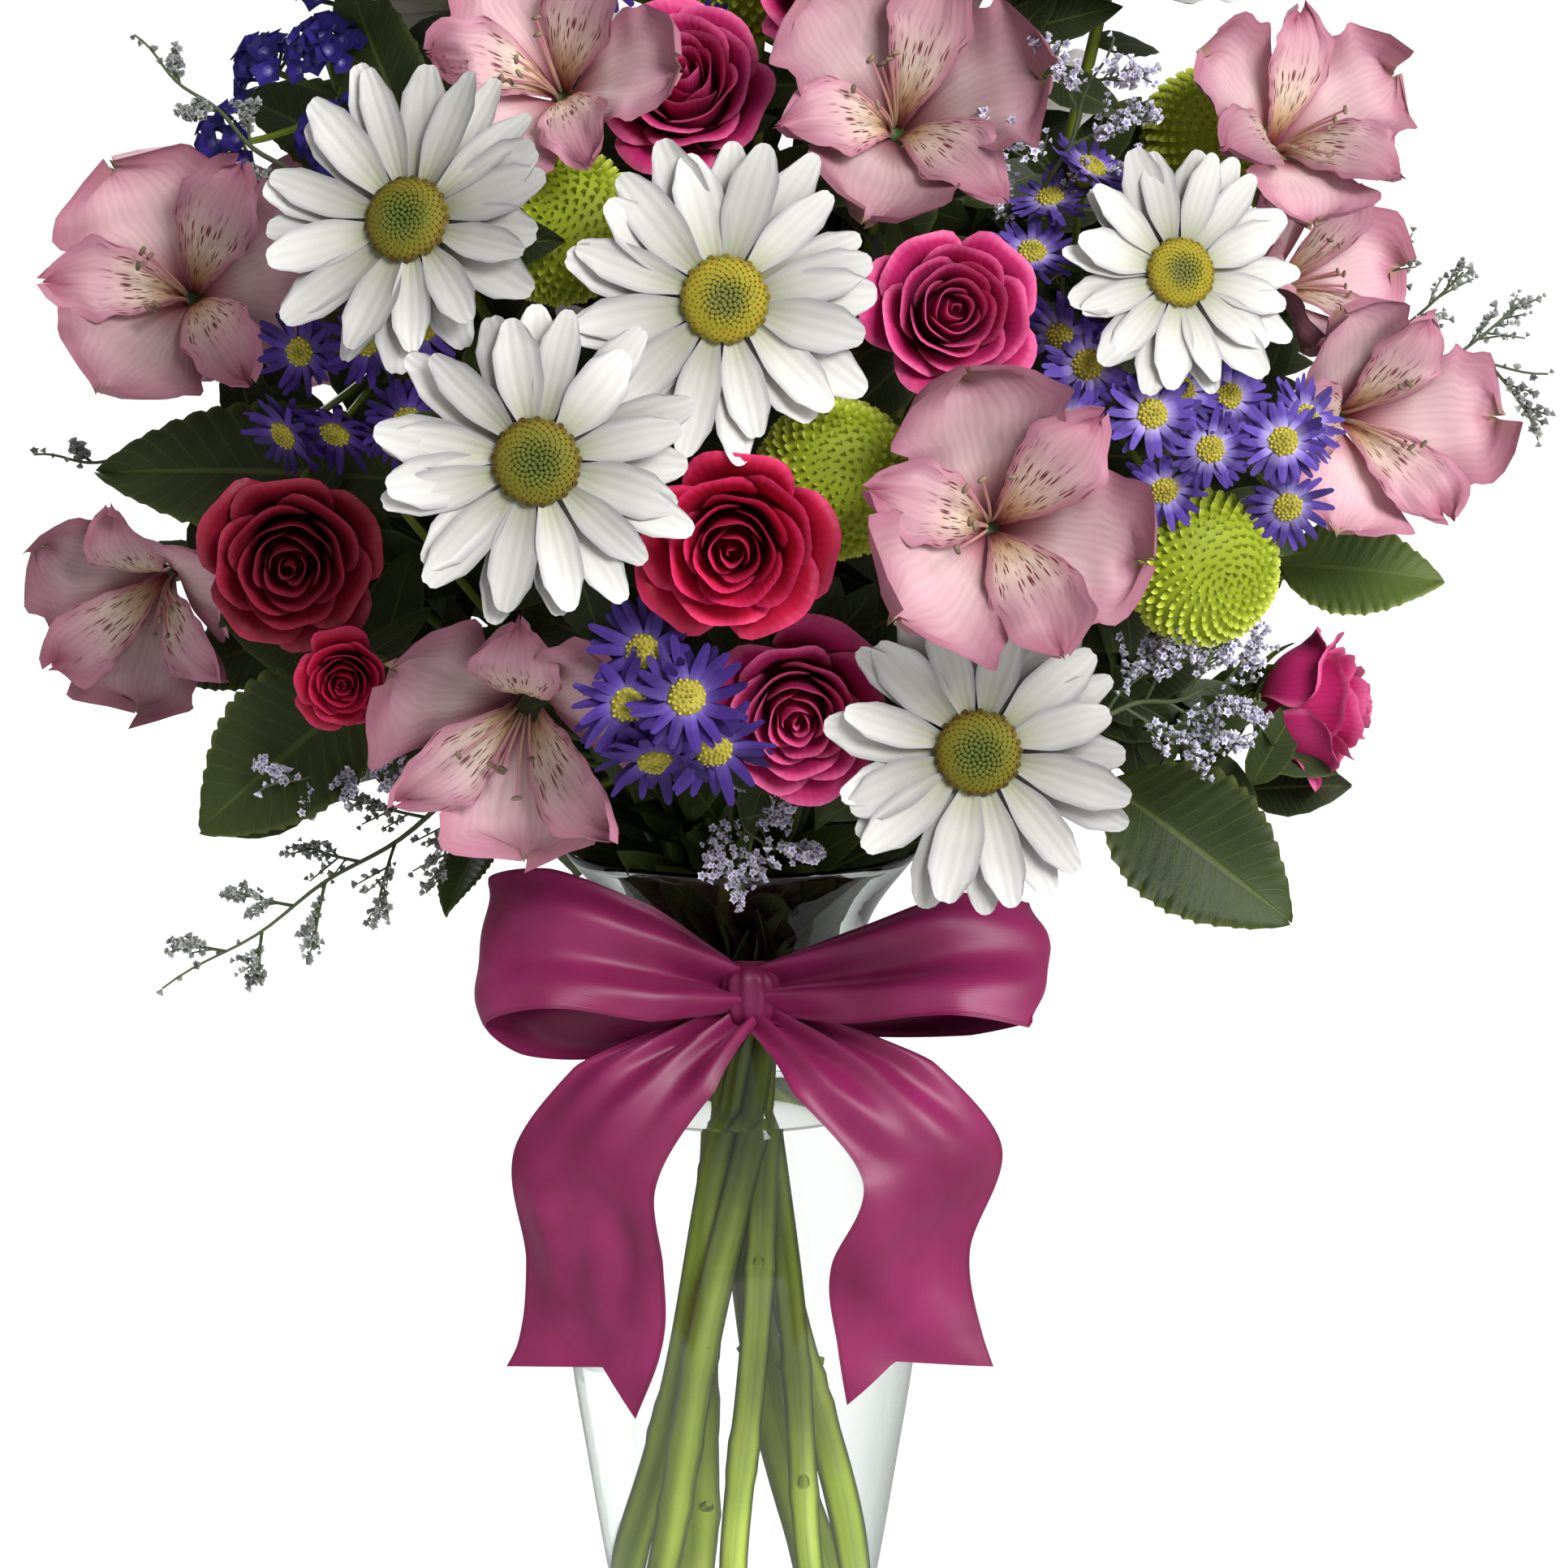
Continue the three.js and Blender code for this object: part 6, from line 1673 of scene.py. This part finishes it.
# Along each route: across, deep and up from the knot, the width that shows, and the tilt and turn of the width
LEFT_LOOP = [(-2, 0, 3, 12, 70, 90), (-22, -11, 11, 28, 60, 90), (-46, -12, 17, 35, 54, 90),
             (-62, -4, 12, 36, 58, 90), (-52, 7, 1, 36, 46, 90), (-24, 6, -2, 27, 52, 90), (-2, 1, 0, 12, 70, 90)]
RIGHT_LOOP = [(2, 0, 3, 12, 66, 90), (22, -9, 8, 24, 52, 90), (48, -11, 13, 34, 42, 90),
              (67, -3, 9, 36, 40, 90), (51, 8, 3, 35, 38, 90), (24, 6, 0, 24, 52, 90), (2, 1, 0, 12, 66, 90)]
LEFT_TAIL = [(-2, 0, -2, 13, 0, 0), (-24, -12, -16, 34, -8, -16), (-38, -15, -36, 37, -6, -26),
             (-36, -15, -60, 35, 0, -24), (-37, -14, -80, 37, 4, -22), (-46, -16, -96, 40, 0, -20)]
RIGHT_TAIL = [(2, 0, -2, 13, 0, 0), (26, -12, -16, 34, 8, 16), (43, -15, -36, 37, 6, 26),
              (35, -15, -58, 36, 0, 24), (37, -14, -78, 37, -4, 22), (42, -16, -96, 38, 0, 18)]
# Where the tails are cut: how far up, at places across from -1 to 1
LEFT_CUT, RIGHT_CUT = [(-1, 16), (0.28, 17.5), (1, 2)], [(-1, 5.5), (-0.23, 17.5), (1, 14.5)]


def length_of(path):
    """The length of a line through points."""
    return np.linalg.norm(np.diff(path, axis=0), axis=1).sum()


def ribbon_strip(route, rows, random, columns=29, pleats=3, billow=0.0, wave=0.9, cut=None):
    """A strip across a route. Place: the route plus half the width times s along the across direction, plus along
    the normal the pleats A cos(pi pleats s) with 4 pleats A = 0.8 sqrt(36.5^2 - width^2), a billow of 1 - s^2, and
    slow waves. Where it is cut, each column ends short of the route by the cut's own length there."""
    route = np.asarray(route, float)
    path = through(KNOT + route[:, :3], rows)
    at = np.linspace(0, len(route) - 1, rows)
    width, tilt, turn = (np.interp(at, np.arange(len(route)), route[:, k]) for k in (3, 4, 5))
    long = length_of(path)
    tilt, turn = np.radians(tilt), np.radians(turn)
    across = np.stack([cos(tilt) * cos(turn), cos(tilt) * sin(turn), sin(tilt)], -1)
    tangent = unit(np.gradient(path, axis=0))
    normal = unit(np.cross(tangent, across))
    s = np.linspace(-1, 1, columns)[None]
    t = steps(rows)[:, None]
    hidden = 0.8 * np.sqrt(np.maximum(CLOTH_WIDTH ** 2 - np.minimum(width, CLOTH_WIDTH) ** 2, 0))[:, None]
    phase = random.uniform(0, TURN)
    fold = hidden / (4 * pleats) * cos(pi * pleats * s + phase + 1.2 * t)
    soft = sin(9 * t + 2.5 * s + phase) + 0.6 * sin(17 * t - 3.5 * s + 2 * phase)
    lift = fold + billow * (1 - s ** 2) * sin(pi * t) + wave * soft * sin(pi * np.clip(t * 1.1, 0, 0.75))
    front = path[:, None] + across[:, None] * (width[:, None] / 2 * s)[..., None] + normal[:, None] * lift[..., None]
    if cut:
        rows_at = t * (1 - np.interp(s, *zip(*cut)) / long) * (rows - 1)
        low = np.minimum(rows_at.astype(int), rows - 2)
        column = np.arange(columns)[None]
        front = front[low, column] + (rows_at - low)[..., None] * (front[low + 1, column] - front[low, column])
    made = blades(front[None], CLOTH_THICKNESS)
    made.uv[:, 1] *= long / CLOTH_WIDTH
    return made


ribbon_dice = dice("ribbon")
strips = [
    ribbon_strip(LEFT_LOOP, 96, ribbon_dice, pleats=2, billow=1.2, wave=1.3),
    ribbon_strip(RIGHT_LOOP, 96, ribbon_dice, pleats=2, billow=1.0, wave=1.3),
    ribbon_strip(LEFT_TAIL, 80, ribbon_dice, billow=1.8, wave=1.3, cut=LEFT_CUT),
    ribbon_strip(RIGHT_TAIL, 80, ribbon_dice, billow=1.8, wave=1.7, cut=RIGHT_CUT),
]

# %% [markdown]
# The knot is the ribbon drawn once over the middle, so its folds run upright. The band is the same ribbon folded to a
# third of its width, and its folds run round the neck.

# %% Knot and band
turn = np.linspace(0, TAU, 49)[:-1][None]
high = np.linspace(-1, 1, 25)[1:-1, None]
bulge = (1 - np.abs(high) ** 3.2) ** 0.42
round_knot = 6.3 * bulge * (1 + 0.07 * cos(11 * turn + 0.8 * high) + 0.03 * cos(5 * turn))
knot_grid = round_points(round_knot, turn, 1.5 + 7.2 * high + 0.5 * sin(3 * turn)) * [1.02, 0.95, 1]
knot = capped(KNOT + knot_grid, KNOT + [[0, 0, -5.8], [0, 0, 8.8]], ring_uv(turn[0] / 2, high[:, 0]))

# The band's cut is a closed loop: up along its outside and down along its inside
ROUND_BAND, ROUND_CUT = 120, 26
loop = np.arange(ROUND_CUT) / ROUND_CUT
outside = (loop < 0.5)[None]
upright = np.where(outside, 4 * loop - 1, 3 - 4 * loop)
ring_turn = np.arange(ROUND_BAND)[:, None] * TAU / ROUND_BAND
band_height = (NECK_HEIGHT + 6.4 * upright) * np.ones_like(ring_turn)
inner_radius = np.interp(band_height, outer_wall[:, 1], outer_wall[:, 0]) + 0.75
folds = 0.75 * (1 + cos(3 * pi * upright + 0.8 * sin(2 * ring_turn))) / 2
band_radius = inner_radius + np.where(outside, 0.55 + folds, 0.0)
band_grid = round_points(band_radius, ring_turn, band_height)
band_uv = np.stack(np.broadcast_arrays(0.5 + 0.5 * upright, 5 * ring_turn / TAU), -1)
band_faces = grid_faces(ROUND_BAND + 1, ROUND_CUT, wrap=True) % (ROUND_BAND * ROUND_CUT)
band = Surface(band_grid, band_faces, uv=band_uv, shade=0.4)
print("knot and band:", len(knot.corners), "and", len(band.corners), "corners")

# %% [markdown]
# Satin is woven so that its long threads lie on the face, which gives it a soft streak of light across the strip. So
# its roughness is middling, it has a sheen, and very fine threads run along it. Both edges have a narrow woven rim.

# %% Satin
satin, satin_tree, satin_shader = new_material(
    "plum_satin", Roughness=0.42, Specular_IOR_Level=0.42, Sheen_Weight=0.35, Sheen_Roughness=0.35,
    Sheen_Tint=paint(226, 120, 172), Anisotropic=0.4)
cloth_uv = add(satin_tree, "UVMap", uv_map="across_along").outputs[0]
cloth = add(satin_tree, "SeparateXYZ", {0: cloth_uv})
edge = ramp(satin_tree, from_middle(satin_tree, cloth.outputs[0]), (0.468, grey(0)), (0.476, grey(1)))
# Painted shimmer: a slow change between a darker and a lighter plum stands in for the light and shade on satin
shimmer = add(satin_tree, "Group", {"Size": 45.0}, node_tree=tone_tree)
satin_colour = ramp(satin_tree, shimmer.outputs["Slow"], (0.3, paint(122, 26, 72)), (0.7, paint(152, 42, 98)))
satin_colour = mixed(satin_tree, math_of(satin_tree, "MULTIPLY", edge, 0.5), satin_colour, paint(110, 22, 66))
satin_tree.links.new(satin_colour, satin_shader.inputs["Base Color"])
threads = add(satin_tree, "Group", {"UV": cloth_uv, "Count": 90.0, "Wander": 0.01}, node_tree=vein_tree).outputs[0]
weave = scaled(satin_tree, threads, 0.25, edge)
satin_bump = add(satin_tree, "Bump", {"Strength": 0.25, "Distance": 0.0002, "Height": weave})
satin_tree.links.new(satin_bump.outputs[0], satin_shader.inputs["Normal"])

bow = piece("plum_ribbon_bow", [(part, satin) for part in (*strips, knot, band)], "ribbon", "ribbon_bow")

# %% [markdown]
# ## Stage, camera and light
#
# The bouquet is photographed against plain white in soft, even light from the front. The floor is pale paper that
# reaches so far that its end stays out of the picture, and it gives a little light of its own, so that it stays
# white while the white petals keep their shading.

# %% Floor
FAR = 60
mesh = bpy.data.meshes.new("paper_floor")
mesh.from_pydata([(-FAR, -FAR, 0), (FAR, -FAR, 0), (FAR, FAR, 0), (-FAR, FAR, 0)], [], [(0, 1, 2, 3)])
floor = into_scene("paper_floor", mesh)
paper, paper_tree, paper_shader = new_material("floor_paper", Roughness=0.9, Specular_IOR_Level=0.1)
fibre = add(paper_tree, "TexNoise", {"Vector": add(paper_tree, "TexCoord").outputs["Object"], "Scale": 900.0})
paper_tree.links.new(ramp(paper_tree, fibre.outputs[0], (0.3, grey(0.34)), (0.7, grey(0.38))),
                     paper_shader.inputs["Base Color"])
paper_shader.inputs["Emission Color"].default_value = (1, 1, 1, 1)
# To the eye the paper glows, and to what it lights it hardly does
ray = add(paper_tree, "LightPath").outputs
bounces = math_of(paper_tree, "ADD", ray["Diffuse Depth"], ray["Glossy Depth"])
glow = scaled(paper_tree, math_of(paper_tree, "MINIMUM", bounces, 1.0), -0.76, 0.92)
paper_tree.links.new(glow, paper_shader.inputs["Emission Strength"])
mesh.materials.append(paper)

# %% Camera
def aim_at(made, place, aim):
    """Moves an object to a place and turns it to a point."""
    made.location = place
    made.rotation_euler = (Vector(aim) - made.location).to_track_quat("-Z", "Y").to_euler()


camera_data = bpy.data.cameras.new("front_camera")
camera_data.lens, camera_data.sensor_width, camera_data.clip_end = 135.6, 36, 200
camera = into_scene("front_camera", camera_data)
aim_at(camera, EYE * MM, AIM * MM)
bpy.context.scene.camera = camera

# %% Light
world = bpy.data.worlds.new("soft_studio")
world.use_nodes = True
sky = world.node_tree.nodes["Background"].inputs
sky["Color"].default_value, sky["Strength"].default_value = (1, 1, 1, 1), 0.32
bpy.context.scene.world = world


def soft_light(name, energy, wide, high, place, aim=(0, 0, 0.26)):
    """A rectangular light at a place, turned to a point."""
    lamp = bpy.data.lights.new(name, "AREA")
    lamp.shape = "RECTANGLE"
    lamp.energy, lamp.size, lamp.size_y = energy, wide, high
    aim_at(into_scene(name, lamp), place, aim)


soft_light("key_light", 23, 0.6, 0.6, (0.75, -1.4, 1.15))
soft_light("strip_light", 8, 0.22, 0.9, (1.11, -1.0, 0.78), (0, 0, 0.2))
soft_light("back_light", 12, 0.8, 0.8, (-0.7, 1.4, 1.2))
bpy.context.scene.view_settings.view_transform = "Standard"
